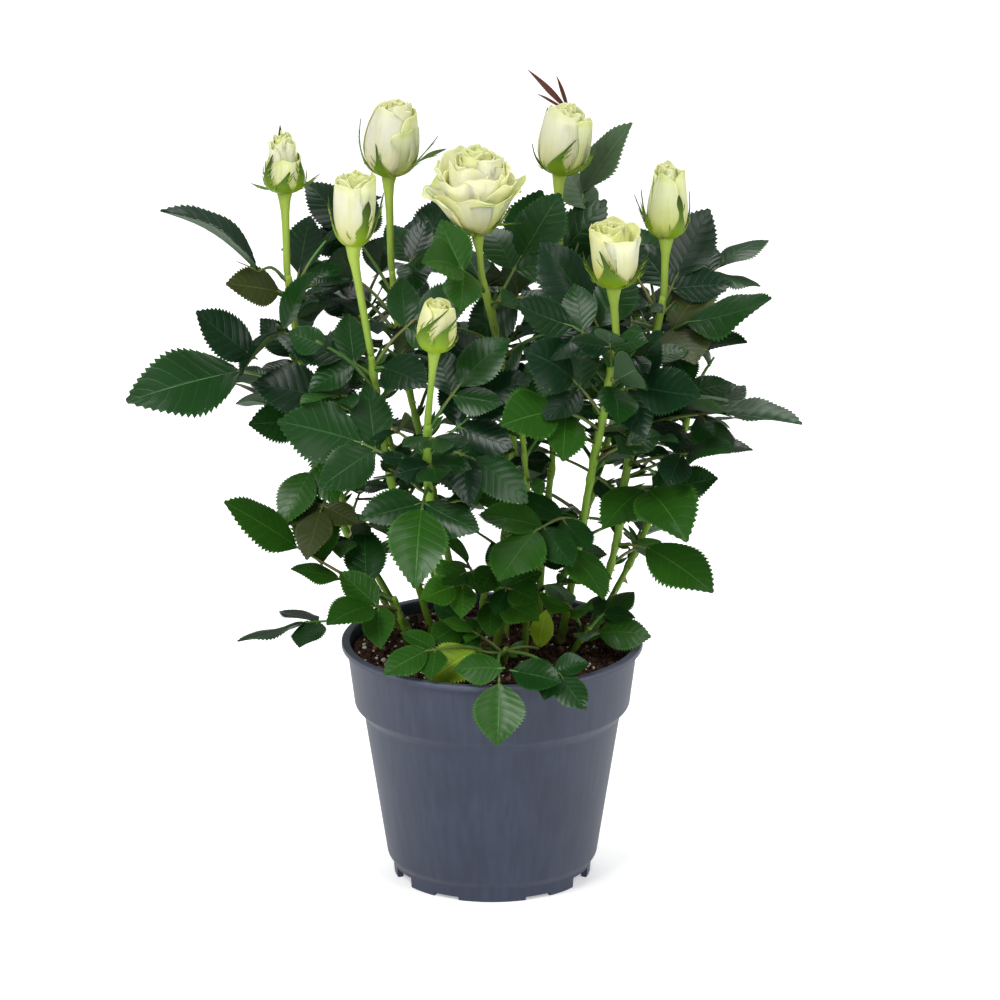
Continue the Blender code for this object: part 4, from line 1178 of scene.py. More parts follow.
for leaf in leaves:
    if isinstance(leaf.index, str):
        leaf.blades = [blade for blade in leaf.blades if not in_opening(blade)]
    else:
        leaf.blades = leaf.blades[:1] + [b for b in leaf.blades[1:] if not in_opening(b, CLEARED)]
leaves = [leaf for leaf in leaves if leaf.blades]
print("small leaves:", len(side_leaves), "all leaflets:", sum(len(leaf.blades) for leaf in leaves))

# %% [markdown]
# ## One leaflet, by hand
# A rose leaflet is an oval of 2 to 5 cm with a pointed tip, a sunken midrib and some twenty
# forward-pointing teeth a side. It could be cut from a flat outline, but a leaf needs rows of
# points to bend. So a grid is narrowed to the oval, its rim is subdivided, and every second new
# point is pulled out and forward as a tooth.

# %% Leaflet outline and teeth
LEAF_ROWS = 10
TOOTH_CUTS = 3  # new points on each step of the rim; every second one becomes a tooth
TOOTH_OUT = 1.13  # how far a tooth's point stands out, in half widths
TOOTH_ON = 0.02  # how far it leans forward, in lengths
RIDGE_WIDTH = 0.16  # how near the back's inner columns are drawn to its midrib


def oval(along):
    """Half width of the leaflet at a share of its length: widest below the middle, pointed tip."""
    return np.sin(np.pi * np.clip(along, 0, 1) ** 0.92) ** 0.9


def model_leaflet(toothed):
    """The toothed upper skin, or the plain back with its ridge."""
    leaflet = narrowed_grid(4, [max(float(oval(row / LEAF_ROWS)), 1e-5) for row in range(LEAF_ROWS + 1)])
    if toothed:
        pick("EDGE", lambda e: e.is_boundary and all(v.index % 5 in (0, 4) for v in e.verts)
             and abs(e.verts[0].co.y - e.verts[1].co.y) > 0.1)
        bpy.ops.mesh.subdivide(number_cuts=TOOTH_CUTS, ngon=True)
        step = 2 / LEAF_ROWS
        pick("VERT", lambda v: v.is_boundary and round((v.co.y + 1) / step * (TOOTH_CUTS + 1)) % 2 == 1)
        bpy.ops.transform.resize(value=(TOOTH_OUT, 1, 1), center_override=(0, 0, 0))
        bpy.ops.transform.translate(value=(0, 2 * TOOTH_ON, 0))
    else:
        for side in (1, 3):
            pick("VERT", lambda v: v.index % 5 == side)
            bpy.ops.transform.resize(value=(RIDGE_WIDTH, 1, 1), center_override=(0, 0, 0))
    bpy.ops.mesh.select_all(action="SELECT")
    bpy.ops.mesh.remove_doubles(threshold=0.002)
    close_edit()
    faces_up = sum(face.normal.z for face in leaflet.data.polygons) > 0
    if faces_up != toothed:
        leaflet.data.flip_normals()
    return grid_shape(leaflet, lambda along: np.maximum(oval(along), 0.05))


leaf_top, leaf_back = model_leaflet(True), model_leaflet(False)
print("leaflet faces:", len(leaf_top.faces), "above and", len(leaf_back.faces), "below")

# %% [markdown]
# Two skins make a leaflet: the toothed upper one and a paler back a quarter of a millimetre
# below, whose midrib stands out as a ridge. Each copy is bent on its own: folded along the midrib,
# drooping to its tip, rippled at the rim and swept to one side, within what the plain blade holds.

# %% Bend a leaflet onto its blade
SKIN = 0.25
RIDGE = 0.45
FULLER = 0.95  # width of the living leaflet over its plain blade


def lay_leaflet(pile, blade, draw, finish, back_finish, flat=1.0, wild=1.0):
    """Adds both skins of one leaflet to the pile, bent by seeded chance."""
    length, half = blade.length, FULLER * blade.width * blade.length / 2 * draw.uniform(0.93, 1.07)
    fold, roll = draw.uniform(0.08, 0.52) * flat, draw.uniform(0.1, 0.42) * flat
    arch, hook = draw.uniform(0.01, 0.13) * flat, draw.uniform(0.0, 0.07) * flat * wild
    ripple, phase = draw.uniform(0.03, 0.1), draw.uniform(0, 6.3)
    sweep, twist, tilt = (draw.uniform(-most, most) * wild for most in (0.08, 0.5, 0.3))
    frame_rows = np.array([blade.side, blade.direction, blade.face])
    for shape, lift, skin in ((leaf_top, 0, finish), (leaf_back, -SKIN, back_finish)):
        across, along = shape.points[:, 0] * (1 if lift == 0 else 0.93), shape.points[:, 1]
        margin = np.abs(across)
        x = across * half + sweep * length * (along ** 2 - along)
        z = half * (fold * margin - roll * margin ** 2)
        z += (arch - FOLD) * length * np.sin(np.pi * along) - hook * length * along ** 4
        z += half * ripple * margin ** 2 * np.sin(9 * along + phase + 1.5 * np.sign(across))
        z += across * half * (tilt + twist * (along - 0.3)) * min(1, 2 * flat) + lift
        if lift:
            z -= RIDGE * (margin < 0.01) * np.sin(np.pi * np.minimum(1, 0.35 + along)) * flat
        y = along * length
        points = np.stack([x, y, z], 1) @ frame_rows + np.array(blade.root)
        pile.add(shape, points, skin)


print("a leaflet is", SKIN, "mm thick with a ridge of", RIDGE, "mm")

# %% [markdown]
# ## Leaf finishes
# The upper skin is waxy over dark green: half gloss, with a pale midrib and some eight sunken
# side veins that run forward to the teeth, and the tissue between them swells a little. The back
# is paler and matt. The veins are drawn from the leaflet's map. Tints are dealt out leaf by leaf:
# dark and bluish on top, fresher below, a few olive or lime.

# %% Leaf materials
LEAFLET_LENGTH, VEIN_GAP = 29.0, 3.6  # mm
VEINS = round(LEAFLET_LENGTH / VEIN_GAP)
BLOTCH = 11.0  # mm across a duller or shinier patch
QUILT = 0.22  # mm that the tissue swells between the veins
WAX = 0.36  # how strongly the waxy skin mirrors, where 0.5 is plain glass
VEIN_LEAN = 1.6  # how far a side vein runs forward on its way to the rim, in vein steps
TINTS = {  # upper skin, veins, gloss
    "dark": ("#0e2e16", "#224a28", 0.28),
    "deep": ("#174014", "#2f5e26", 0.29),
    "fresh": ("#285613", "#487a2c", 0.31),
    "bright": ("#376c18", "#609236", 0.35),
    "lime": ("#82a31c", "#a9c24c", 0.38),
    "olive": ("#3a451a", "#5b682e", 0.38),
    "dusty": ("#4a6343", "#6d8760", 0.5),
    "young": ("#5c2f20", "#7c4a34", 0.4),
}
BACKS = {"back_grey": ("#3f5a3c", "#6c885f", 0.6), "back_olive": ("#465a30", "#76894f", 0.6)}


def leaf_finish(name, body, veins, gloss, sunk):
    """A leaf skin with veins by the leaflet's own map; sunk is 1 above and -1 on the back."""
    finish, add, shader, place = new_finish(name, IOR=1.45, Specular_IOR_Level=WAX)
    chart = add("UVMap", {}, uv_map="shape")["UV"]
    split = add("SeparateXYZ", {0: chart})
    middle = add("Math", {0: split["X"], 1: 0.5}, operation="SUBTRACT")["Value"]
    away = add("Math", {0: middle}, operation="ABSOLUTE")["Value"]
    along = add("Math", {0: split["Y"], 1: float(VEINS)}, operation="MULTIPLY")["Value"]
    lean = add("Math", {0: away, 1: 2 * VEIN_LEAN}, operation="MULTIPLY")["Value"]
    steps = add("Math", {0: along, 1: lean}, operation="SUBTRACT")["Value"]
    swell = add("Math", {0: steps, 1: 0.5}, operation="PINGPONG")["Value"]
    side_vein = add("MapRange",
                    {"Value": swell, "From Max": 0.045, "To Min": 0.28, "To Max": 0.0})["Result"]
    midrib = add("MapRange", {"Value": away, "From Min": 0.006, "From Max": 0.017, "To Min": 0.7,
                              "To Max": 0.0})["Result"]
    hem = add("MapRange", {"Value": away, "From Min": 0.465, "From Max": 0.49, "To Max": 0.4})["Result"]
    ribbed = add("Math", {0: side_vein, 1: midrib}, operation="MAXIMUM")["Value"]
    lines_drawn = add("Math", {0: ribbed, 1: hem}, operation="MAXIMUM")["Value"]
    patches = add("TexNoise", {"Vector": place, "Scale": 1 / (BLOTCH * MM), "Detail": 3.0})["Fac"]
    deeper = [c * 0.72 for c in linear(body)[:3]] + [1]
    blade = add("Mix", {"Factor": patches, 6: linear(body), 7: deeper}, data_type="RGBA")[2]
    colour = add("Mix", {"Factor": lines_drawn, 6: blade, 7: linear(veins)}, data_type="RGBA")[2]
    shine = add("MapRange", {"Value": patches, "To Min": gloss - 0.07, "To Max": gloss + 0.12})["Result"]
    hollow = add("Math", {0: swell, 1: ribbed}, operation="SUBTRACT")["Value"]
    bump = add("Bump",
               {"Height": hollow, "Strength": 0.6 if sunk > 0 else 0.35,
                "Distance": QUILT * MM * sunk})["Normal"]
    set_shader(shader, Base_Color=colour, Roughness=shine, Normal=bump)
    return finish


leaf_finishes = [leaf_finish("waxy_leaf_" + name, *looks, 1) for name, looks in TINTS.items()]
leaf_finishes += [leaf_finish("matt_leaf_" + name, *looks, -1) for name, looks in BACKS.items()]
tint_index = {name: k for k, name in enumerate([*TINTS, *BACKS])}
print("leaf finishes:", ", ".join(tint_index))

# %% [markdown]
# A leaf draws its tint by its height, and some leaves have a set tint, lean or place. All leaflets
# then go into two pieces, front and back, because one would have too many triangles.

# %% Deal out the tints and lay every leaflet
LEAF_TINTS = {
    ("far_left", 0): "dark", ("far_left", 1): "olive", ("far_left", 3): "deep",
    ("low_left", 0): "fresh", ("low_left", 1): "fresh", ("low_left", 2): "deep",
    ("right", 3): ("deep", "olive"), ("right", 9): "fresh", ("right", 10): "fresh",
    ("low_front", 0): "fresh", ("low_front", 1): "deep", ("low_front", 2): "fresh",
    ("low_front", 3): "lime", ("low_front", 4): "lime", ("low_right", 0): "fresh",
    ("centre", 0): "fresh", ("rear_right", 0): "dusty", ("front_left", 1): "fresh",
    ("front_right", 5): "fresh", ("rear_right", "young"): "young",
}
MIXES = (  # lowest height of the leaf's tip, mm, and how the tints are shared out there
    (235, (("dark", 0.62), ("deep", 0.34), ("olive", 0.04))),
    (185, (("dark", 0.25), ("deep", 0.46), ("fresh", 0.25), ("olive", 0.04))),
    (0, (("deep", 0.14), ("fresh", 0.56), ("bright", 0.26), ("olive", 0.04))),
)
NEXT_TINT = {"dark": "deep", "deep": "dark", "fresh": "deep", "bright": "fresh"}
OWN_TINT = 0.68  # share of leaflets that keep their leaf's tint


def tints_of(leaf):
    """The tints of a leaf's leaflets, from the end one on."""
    shares = next(shares for low, shares in MIXES if leaf.tip.z > low)
    draw = random.Random(f"tint {leaf.owner} {leaf.index}")
    dealt = draw.choices([name for name, _ in shares], [share for _, share in shares])[0]
    set_tint = LEAF_TINTS.get((leaf.owner, leaf.index), dealt)
    end, others = set_tint if isinstance(set_tint, tuple) else (set_tint, set_tint)
    return [end] + [others if draw.random() < OWN_TINT else NEXT_TINT.get(others, others)
                    for _ in leaf.blades[1:]]


LEANS = {  # leaves at the crown's rim: how far their upper side leans to the front
    ("far_left", 0): 6, ("far_left", 3): 46, ("low_left", 0): 26, ("low_left", 2): -14, ("right", 1): 0,
    ("right", 3): 22, ("right", 4): 14, ("right", 6): 2, ("right", 8): 8, ("right", 9): 36,
    ("right", 10): 26, ("rear_right", 0): 12, ("rear_right", 2): 45, ("low_left", 3): 20,
}
CALM = 0.25  # how much of the chance twist such a leaf keeps
MOVED = {  # leaflets with a place of their own: root, tip, lean, width
    ("low_front", 3, 0): ((-7, -38, 113), (-28, -52, 103), 50, 0.74),
    ("low_front", 4, 0): ((20, -24, 109), (23, -27, 127), 84, 0.52),
    ("low_front", 0, 0): ((3, -66, 108), (2, -80, 85), 60, 0.78),
    ("low_front", 0, 1): ((5, -62, 113), (-16, -66, 114), 52, 0.7),
    ("low_front", 0, 2): ((8, -62, 112), (29, -68, 109), 52, 0.78),
    ("rear_right", 0, 0): ((39, 52, 290), (60, 58, 320), 12, 0.66),
    ("far_left", 0, 0): ((-99, -1, 270), (-140, -6, 298), 2, 0.62),
    ("far_left", 3, 1): ((-100, -10, 234), (-125, -18, 257), 45, 0.64),
    ("low_left", 0, 0): ((-83, -14, 151), (-114, -22, 174), 26, 0.66),
    ("low_left", 3, 0): ((-65, -14, 137), (-86, -18, 143), 20, 0.62),
    ("rear_right", 2, 0): ((13, 50, 261), (21, 54, 291), 45, 0.8),
    ("rear_right", 2, 2): ((26, 42, 260), (49, 45, 289), 40, 0.66),
    ("rear_right", "rule 3", 2): ((11, 39, 248), (-10, 39, 228), 60, 0.72),
}
for leaf in leaves:
    lean = LEANS.get((leaf.owner, leaf.index))
    if lean is not None:
        leaf.blades = [Blade(blade.root, blade.direction, leaning(FRONT, lean), blade.length, blade.width)
                       for blade in leaf.blades]
    for k in range(3):
        if (leaf.owner, leaf.index, k) in MOVED:
            root, tip, lean, width = MOVED[leaf.owner, leaf.index, k]
            way = Vector(tip) - Vector(root)
            leaf.blades[k:k + 1] = [Blade(Vector(root), way, leaning(FRONT, lean), way.length, width)]
            if k == 0:
                leaf.rib = spread([*leaf.rib[:2], Vector(root)], RIB_STEPS)
print("leaves turned or moved:", len(LEANS), "and", len(MOVED))

FRONT_SHOOTS = [name for name in SHOOTS if lines[name][-1].y < 5]
OLIVE_BACKS = 0.2  # share of leaves
piles = {True: Pile(), False: Pile()}
for leaf in [*leaves, young]:
    draw = random.Random(f"bend {leaf.owner} {leaf.index}")
    back = "back_olive" if draw.random() < OLIVE_BACKS else "back_grey"
    for blade, tint in zip(leaf.blades, tints_of(leaf)):
        lay_leaflet(piles[leaf.owner in FRONT_SHOOTS], blade, draw, tint_index[tint], tint_index[back],
                    wild=CALM if (leaf.owner, leaf.index) in LEANS else 1.0)
for at_front, name in ((True, "leaflets_front"), (False, "leaflets_back")):
    finish_piece(piles[at_front].make(), name, leaf_finishes,
                 ["leaves_" + shoot for shoot in SHOOTS if (shoot in FRONT_SHOOTS) == at_front])

# %% [markdown]
# ## Ribs and stipules
# Each leaf hangs on a rib of about a millimetre that swells where it joins the stem, with two
# narrow green wings, the stipules, grown onto its foot. Short stalks lead to each leaflet.

# %% Ribs
RIB_FOOT, RIB_TIP = 0.95, 0.5  # radii, mm
RIB_JOINT = 0.5  # mm that its foot is thicker still
RIB_RINGS = 9
STIPULE = 9.0

ribs = Pile()
for leaf in [*leaves, young]:
    line = smooth_line(leaf.rib, RIB_RINGS)
    start_at, ahead = line[0], (line[1] - line[0]).normalized()
    radii = [RIB_TIP + (RIB_FOOT - RIB_TIP) * (1 - k / RIB_RINGS) for k in range(RIB_RINGS + 1)]
    radii[0] += RIB_JOINT
    tube = Tube(line, radii, 6)
    ribs.add(tube, tube.points, 0)
    for blade in leaf.blades:
        stalk = Tube([blade.root - blade.direction * 0.6, blade.root + blade.direction * 1.6,
                      blade.point(0.2, 0, -FOLD * blade.length * 0.55)], [0.5, 0.45, 0.25], 4)
        ribs.add(stalk, stalk.points, 0)
    draw = random.Random(f"stipule {leaf.owner} {leaf.index}")
    face = leaf.blades[0].face
    for hand in (-1, 1):
        side = ahead.cross(face).normalized() * hand
        wing = Blade(start_at + ahead * 1.2 + side * 0.5, ahead + side * 0.22, face + side * 0.3,
                     STIPULE * draw.uniform(0.7, 1.1), 0.26)
        lay_leaflet(ribs, wing, draw, 1, 1, flat=0.3)
print("ribs:", len(leaves) + 1)

# %% [markdown]
# ## Canes and stems
# A rose cane could be a plain tapered tube, but the eye knows it by its knots. So each shoot is a
# curve whose radius swells at every leaf, and a Displace modifier adds the lumps of grown bark.

# %% Canes
KNOT = 0.45  # mm that a knot stands out
SLIM_FOOT, SLIM_TIP = 0.74, 0.83  # radius of the living cane over its solid's
KNOT_LENGTH = 2.2
FLARE, FLARE_HEIGHT = 0.3, 3  # mm that a cane is thicker at the soil, and how fast that fades
CANE_STEPS = 70
TOP_RADIUS = 0.9  # of a shoot that carries no rose

curve = bpy.data.curves.new("canes", "CURVE")
curve.dimensions, curve.bevel_depth, curve.bevel_resolution = "3D", MM, 5
curve.use_fill_caps = True
knots = {name: [leaf.joint.z for leaf in leaves if leaf.owner == name] for name in SHOOTS}
for name, (_, cane_end, foot_radius, tip_radius, _) in SHOOTS.items():
    places = spread(lines[name], CANE_STEPS)
    foot_radius, tip_radius = SLIM_FOOT * foot_radius, SLIM_TIP * tip_radius
    spline = curve.splines.new("POLY")
    spline.points.add(len(places) - 1)
    last = tip_radius if name in FLOWERING else TOP_RADIUS
    for point, place in zip(spline.points, places):
        low = min(1, (place.z - SOIL_LEVEL) / (cane_end - SOIL_LEVEL))
        high = max(0, (place.z - cane_end) / max(1, lines[name][-1].z - cane_end))
        radius = foot_radius + (tip_radius - foot_radius) * low + (last - tip_radius) * high ** 2
        radius += max([KNOT * math.exp(-((place.z - z) / KNOT_LENGTH) ** 2) for z in knots[name]] + [0])
        radius += FLARE * math.exp(-(place.z - SOIL_LEVEL) / FLARE_HEIGHT)
        point.co = (*(place * MM), 1)
        point.radius = radius
canes = bpy.data.objects.new("canes", curve)
bpy.context.scene.collection.objects.link(canes)
take(canes)
bpy.ops.object.convert(target="MESH")
bpy.ops.object.mode_set(mode="EDIT")
bpy.ops.mesh.select_all(action="SELECT")
bpy.ops.mesh.remove_doubles(threshold=0.00001)
close_edit()
lumps = bpy.data.textures.new("bark_lumps", "CLOUDS")
lumps.noise_scale = 0.004
push = canes.modifiers.new("bark", "DISPLACE")
push.texture, push.strength, push.mid_level, push.texture_coords = lumps, 0.0006, 0.5, "LOCAL"
apply_all(canes)
print("canes:", len(canes.data.polygons), "faces")

# %% [markdown]
# Cane skin is smooth and green, half matt, with corky pale dots and brown weathering near the
# soil. It turns yellow-green towards a rose. Height picks the colour, noise makes it uneven.

# %% Cane skin
CORK, CORK_LENGTH = 1.6, 3.6  # mm between corky dots round a cane, and along it
MOTTLE = 8.0  # mm
CANE_GREENS = ((0, "#6f7038"), (0.04, "#6a8f2c"), (0.5, "#789f30"), (0.72, "#8cab40"), (1, "#a3bb4c"))

cane_skin, add, shader, place = new_finish("green_cane_skin", IOR=1.45, Specular_IOR_Level=0.3)
height = add("SeparateXYZ", {0: place})["Z"]
uneven = add("TexNoise", {"Vector": place, "Scale": 1 / (MOTTLE * MM), "Detail": 4.0})["Fac"]
shift = add("Math", {0: uneven, 1: 0.05, 2: -0.025}, operation="MULTIPLY_ADD")["Value"]
level = add("Math", {0: height, 1: shift}, operation="ADD")["Value"]
share = add("MapRange", {"Value": level, "From Min": 0.095, "From Max": 0.3})["Result"]
greens = add("ValToRGB", {"Fac": share}, ramp=CANE_GREENS)["Color"]
stretched = add("Mapping", {"Vector": place, "Scale": (1, 1, CORK / CORK_LENGTH)})["Vector"]
dots = add("TexVoronoi", {"Vector": stretched, "Scale": 1 / (CORK * MM)})["Distance"]
corky = add("MapRange", {"Value": dots, "From Min": 0.1, "From Max": 0.2, "To Min": 0.5,
                         "To Max": 0.0})["Result"]
colour = add("Mix", {"Factor": corky, 6: greens, 7: linear("#9a9a62")}, data_type="RGBA")[2]
gloss = add("MapRange", {"Value": uneven, "To Min": 0.36, "To Max": 0.62})["Result"]
bump = add("Bump", {"Height": corky, "Strength": 0.3, "Distance": 0.0002})["Normal"]
set_shader(shader, Base_Color=colour, Roughness=gloss, Normal=bump)
finish_piece(canes, "cane_skins", [cane_skin], ["cane_" + name for name in SHOOTS])

# %% [markdown]
# Ribs are greener than canes and flush red where the sun reaches them. Their piece also holds the
# stipules, which take the fresh leaf finish.

# %% Rib finish
FLUSH, HAIR = 22.0, 0.55  # mm across a red flush; between hairs, drawn coarse

rib_skin, add, shader, place = new_finish("leaf_rib_skin", Roughness=0.45)
flush = add("TexNoise", {"Vector": place, "Scale": 1 / (FLUSH * MM), "Detail": 3.0})["Fac"]
sunlit = add("ValToRGB", {"Fac": flush}, ramp=((0.38, "#4c7a31"), (0.74, "#7a6a38")))["Color"]
hairs = add("TexNoise", {"Vector": place, "Scale": 1 / (HAIR * MM)})["Fac"]
bump = add("Bump", {"Height": hairs, "Strength": 0.2, "Distance": 0.0001})["Normal"]
set_shader(shader, Base_Color=sunlit, Normal=bump)
finish_piece(ribs.make(), "leaf_ribs", [rib_skin, leaf_finishes[tint_index["fresh"]]])

# %% [markdown]
# Prickles grow out of the skin itself: a long narrow foot on the cane and a point that hooks down.
# A cone would look like a nail, so a narrowed disc is pulled out in three steps, each smaller and
# further down. The foot is left inside the cane.

# %% Prickles
PRICKLE_GAP = 8.0
PRICKLE_FOOT = 0.45  # its width over its length
PRICKLE_SUNK = 0.15  # mm
PRICKLE_STEPS = ((0.45, -0.1, 0.6), (0.7, -0.3, 0.5), (0.6, -0.55, 0.12))  # out, down, smaller

prickle = start("circle", vertices=6, radius=1, fill_type="NGON")
bpy.ops.object.mode_set(mode="EDIT")
bpy.ops.mesh.select_all(action="SELECT")
bpy.ops.transform.resize(value=(PRICKLE_FOOT, 1, 1), center_override=(0, 0, 0))
out = down = 0.0
for step_out, step_down, smaller in PRICKLE_STEPS:
    bpy.ops.mesh.extrude_region_move(TRANSFORM_OT_translate={"value": (0, step_down, step_out)})
    out, down = out + step_out, down + step_down
    bpy.ops.transform.resize(value=(smaller, smaller, 1), center_override=(0, down, out))
close_edit()
prickle = Shape(prickle)

prickles = Pile()
for name, (_, _, _, tip_radius, _) in SHOOTS.items():
    draw = random.Random(f"{name} prickles")
    height = SOIL_LEVEL + draw.uniform(3, 12)
    while height < lines[name][-1].z - 12:
        middle, ahead = at_height(lines[name], height)
        heading = draw.uniform(0, 2 * math.pi)
        outward = ahead.cross(towards(heading, 0)).normalized()
        axes = np.array([ahead.cross(outward), ahead, outward])
        foot = middle + outward * (SLIM_TIP * tip_radius - PRICKLE_SUNK)
        prickles.add(prickle, prickle.points * draw.uniform(0.8, 1.5) @ axes + np.array(foot))
        height += PRICKLE_GAP * draw.uniform(0.5, 1.9)

HORN_GRAIN = 1.7  # mm

thorn_skin, add, shader, place = new_finish("horny_prickle", Roughness=0.35)
chart = add("UVMap", {}, uv_map="shape")["UV"]
to_tip = add("SeparateXYZ", {0: chart})["Y"]
grain = add("TexNoise", {"Vector": place, "Scale": 1 / (HORN_GRAIN * MM)})["Fac"]
uneven = add("Math", {0: grain, 1: 0.4, 2: to_tip}, operation="MULTIPLY_ADD")["Value"]
horn = add("ValToRGB", {"Fac": uneven}, ramp=((0.2, "#8f5a3a"), (0.9, "#7d8f42")))["Color"]
set_shader(shader, Base_Color=horn)
finish_piece(prickles.make(), "prickles", [thorn_skin], smooth_angle=60)

# %% [markdown]
# ## Roses
# Eight roses stand over the leaves, from slim buds to one open bloom. A rose is petals in a
# spiral, each a little outside the last. One petal is modelled from a grid, and then wrapped round
# each rose by plain numbers: which way it faces, how far it reaches round, how high it goes, how
# wide its belly and its rim stand, and how far the rim rolls out.

# %% One petal
PETAL_COLUMNS, PETAL_ROWS = 10, 8
SHOULDERS = (0.24, 0.1, 0.04, 0.01)  # how far the top drops in each column, from the edge in


def petal_width(along):
    """Half width of a petal at a share of its length."""
    return 0.66 + 0.34 * np.sin(np.minimum(1, along / 0.6) * np.pi / 2) - 0.1 * along ** 4


def thicken(piece, thickness):
    """Gives a skin its thickness in mm, half to each side, and rounds it once."""
    thick = piece.modifiers.new("thick", "SOLIDIFY")
    thick.thickness, thick.offset = thickness * MM, 0
    smooth = piece.modifiers.new("soft", "SUBSURF")
    smooth.levels = smooth.render_levels = 1
    apply_all(piece)


petal = narrowed_grid(PETAL_COLUMNS, [float(petal_width(row / PETAL_ROWS)) for row in range(PETAL_ROWS + 1)])
for column, drop in enumerate(SHOULDERS):
    for row in range(PETAL_ROWS - 3, PETAL_ROWS + 1):
        pick("VERT", lambda v: v.index // (PETAL_COLUMNS + 1) == row
             and v.index % (PETAL_COLUMNS + 1) in (column, PETAL_COLUMNS - column))
        bpy.ops.transform.translate(value=(0, -drop * (1 - (PETAL_ROWS - row) / 4), 0))
bpy.ops.object.mode_set(mode="OBJECT")
petal = grid_shape(petal, petal_width)
print("petal:", len(petal.faces), "faces")

# %% [markdown]
# Each rose has its own heart, given as a count of petals and how wide and high it is, and guard
# petals with a set place. Angles turn from the front (0) to the right (90). Heights and widths are
# shares of the rose's own. A bowl of 1 is round below like an egg, and 0 runs to a point.

# %% The eight roses
ROSES = {  # foot and top of the bloom, half width: all mm; how round below, how full its shoulder
    "front_left": ((-24, -60, 252), (-22, -61, 275), 8.3, 0.9, 0.8),
    "front_right": ((51, -40, 274), (51, -41, 303), 11.0, 0.75, 0.55),
    "left": ((-58, -30, 289), (-57, -30, 321), 9.1, 0.6, 0.9),
    "centre": ((-6, -10, 289), (-8, -12, 328), 21.0, 0.05, 0.7),
    "right": ((74, 10, 282), (75, 10, 315), 9.0, 0.9, 0.5),
    "rear_right": ((29, 40, 302), (33, 41, 333), 11.6, 0.7, 0.8),
    "rear_left": ((-44, 30, 304), (-42, 30, 338), 12.0, 0.7, 1.0),
    "far_left": ((-88, 10, 302), (-88, 10, 328), 8.8, 1.0, 0.5),
}
HEARTS = {  # petals, outermost belly, outermost rim, lowest and highest rim, ruffle, shift, tint
    "front_left": (8, 0.84, 0.5, 0.86, 1.0, 0.08, (0, 0), "yellow"),
    "front_right": (9, 0.76, 0.66, 0.86, 1.0, 0.11, (-1, 0), "yellow"),
    "left": (9, 0.84, 0.7, 0.9, 1.02, 0.12, (0, 0), "cream"),
    "centre": (15, 0.62, 0.4, 0.8, 1.0, 0.07, (1.5, 0), "white"),
    "right": (9, 0.74, 0.4, 0.88, 1.0, 0.12, (-1.5, 0), "cream"),
    "rear_right": (9, 0.8, 0.48, 0.86, 1.0, 0.1, (1.5, 0), "cream"),
    "rear_left": (10, 0.84, 0.46, 0.9, 1.0, 0.08, (2, -1), "white"),
    "far_left": (11, 0.74, 0.56, 0.84, 1.03, 0.13, (0, 0), "cream"),
}
GUARDS = {  # facing, reach round to each side, height, belly, rim, roll, tint
    "front_left": (
        (130, 95, 0.94, 0.94, 0.58, 0.02, "yellow"), (-100, 90, 0.95, 0.96, 0.6, 0.04, "yellow"),
        (20, 84, 0.9, 0.98, 0.62, 0.05, "yellow")),
    "front_right": (
        (-160, 80, 0.98, 0.8, 0.74, 0.08, "yellow"), (112, 66, 0.95, 0.84, 0.82, 0.2, "yellow"),
        (-66, 74, 1.0, 0.88, 0.82, 0.22, "yellow"), (30, 78, 0.88, 0.9, 0.84, 0.22, "cream")),
    "left": (
        (175, 100, 0.95, 0.94, 0.7, 0.05, "cream"), (84, 76, 1.0, 0.96, 0.74, 0.1, "greenish"),
        (-34, 92, 0.9, 1.0, 0.7, 0.12, "cream")),
    "centre": (
        (150, 56, 0.88, 0.62, 0.54, 0.06, "white"), (-144, 54, 0.93, 0.64, 0.6, 0.1, "white"),
        (-96, 48, 0.86, 0.64, 0.66, 0.15, "cream"), (92, 52, 0.82, 0.64, 0.62, 0.12, "white"),
        (20, 62, 0.76, 0.62, 0.5, 0.08, "white"), (-44, 56, 0.74, 0.64, 0.6, 0.13, "white"),
        (126, 48, 0.72, 0.7, 0.74, 0.15, "cream"), (64, 50, 0.7, 0.68, 0.68, 0.18, "cream"),
        (-82, 50, 0.62, 0.74, 0.88, 0.24, "cream"), (98, 48, 0.64, 0.74, 0.84, 0.22, "greenish"),
        (-28, 62, 0.62, 0.72, 0.68, 0.2, "cream"), (46, 60, 0.6, 0.74, 0.74, 0.24, "greenish"),
        (180, 56, 0.64, 0.74, 0.84, 0.18, "greenish"), (-130, 50, 0.62, 0.74, 0.84, 0.18, "greenish")),
    "right": (
        (-150, 95, 0.98, 0.94, 0.46, 0.06, "cream"), (98, 84, 0.93, 0.97, 0.52, 0.12, "greenish"),
        (-44, 84, 0.9, 1.0, 0.5, 0.12, "greenish")),
    "rear_right": (
        (-165, 95, 0.92, 0.92, 0.56, 0.04, "cream"), (-62, 100, 0.95, 0.95, 0.56, 0.04, "cream"),
        (52, 74, 0.84, 0.97, 0.72, 0.08, "greenish"), (112, 60, 0.76, 0.98, 0.84, 0.12, "greenish")),
    "rear_left": (
        (175, 100, 0.92, 0.93, 0.5, 0.0, "white"), (92, 76, 0.88, 0.97, 0.7, 0.06, "greenish"),
        (-66, 112, 0.9, 0.98, 0.46, 0.0, "white"), (56, 62, 0.68, 0.99, 0.84, 0.05, "greenish")),
    "far_left": (
        (-150, 85, 0.7, 0.94, 0.66, 0.04, "yellow"), (95, 80, 0.64, 0.96, 0.74, 0.05, "greenish"),
        (-25, 76, 0.6, 0.97, 0.74, 0.06, "greenish")),
}
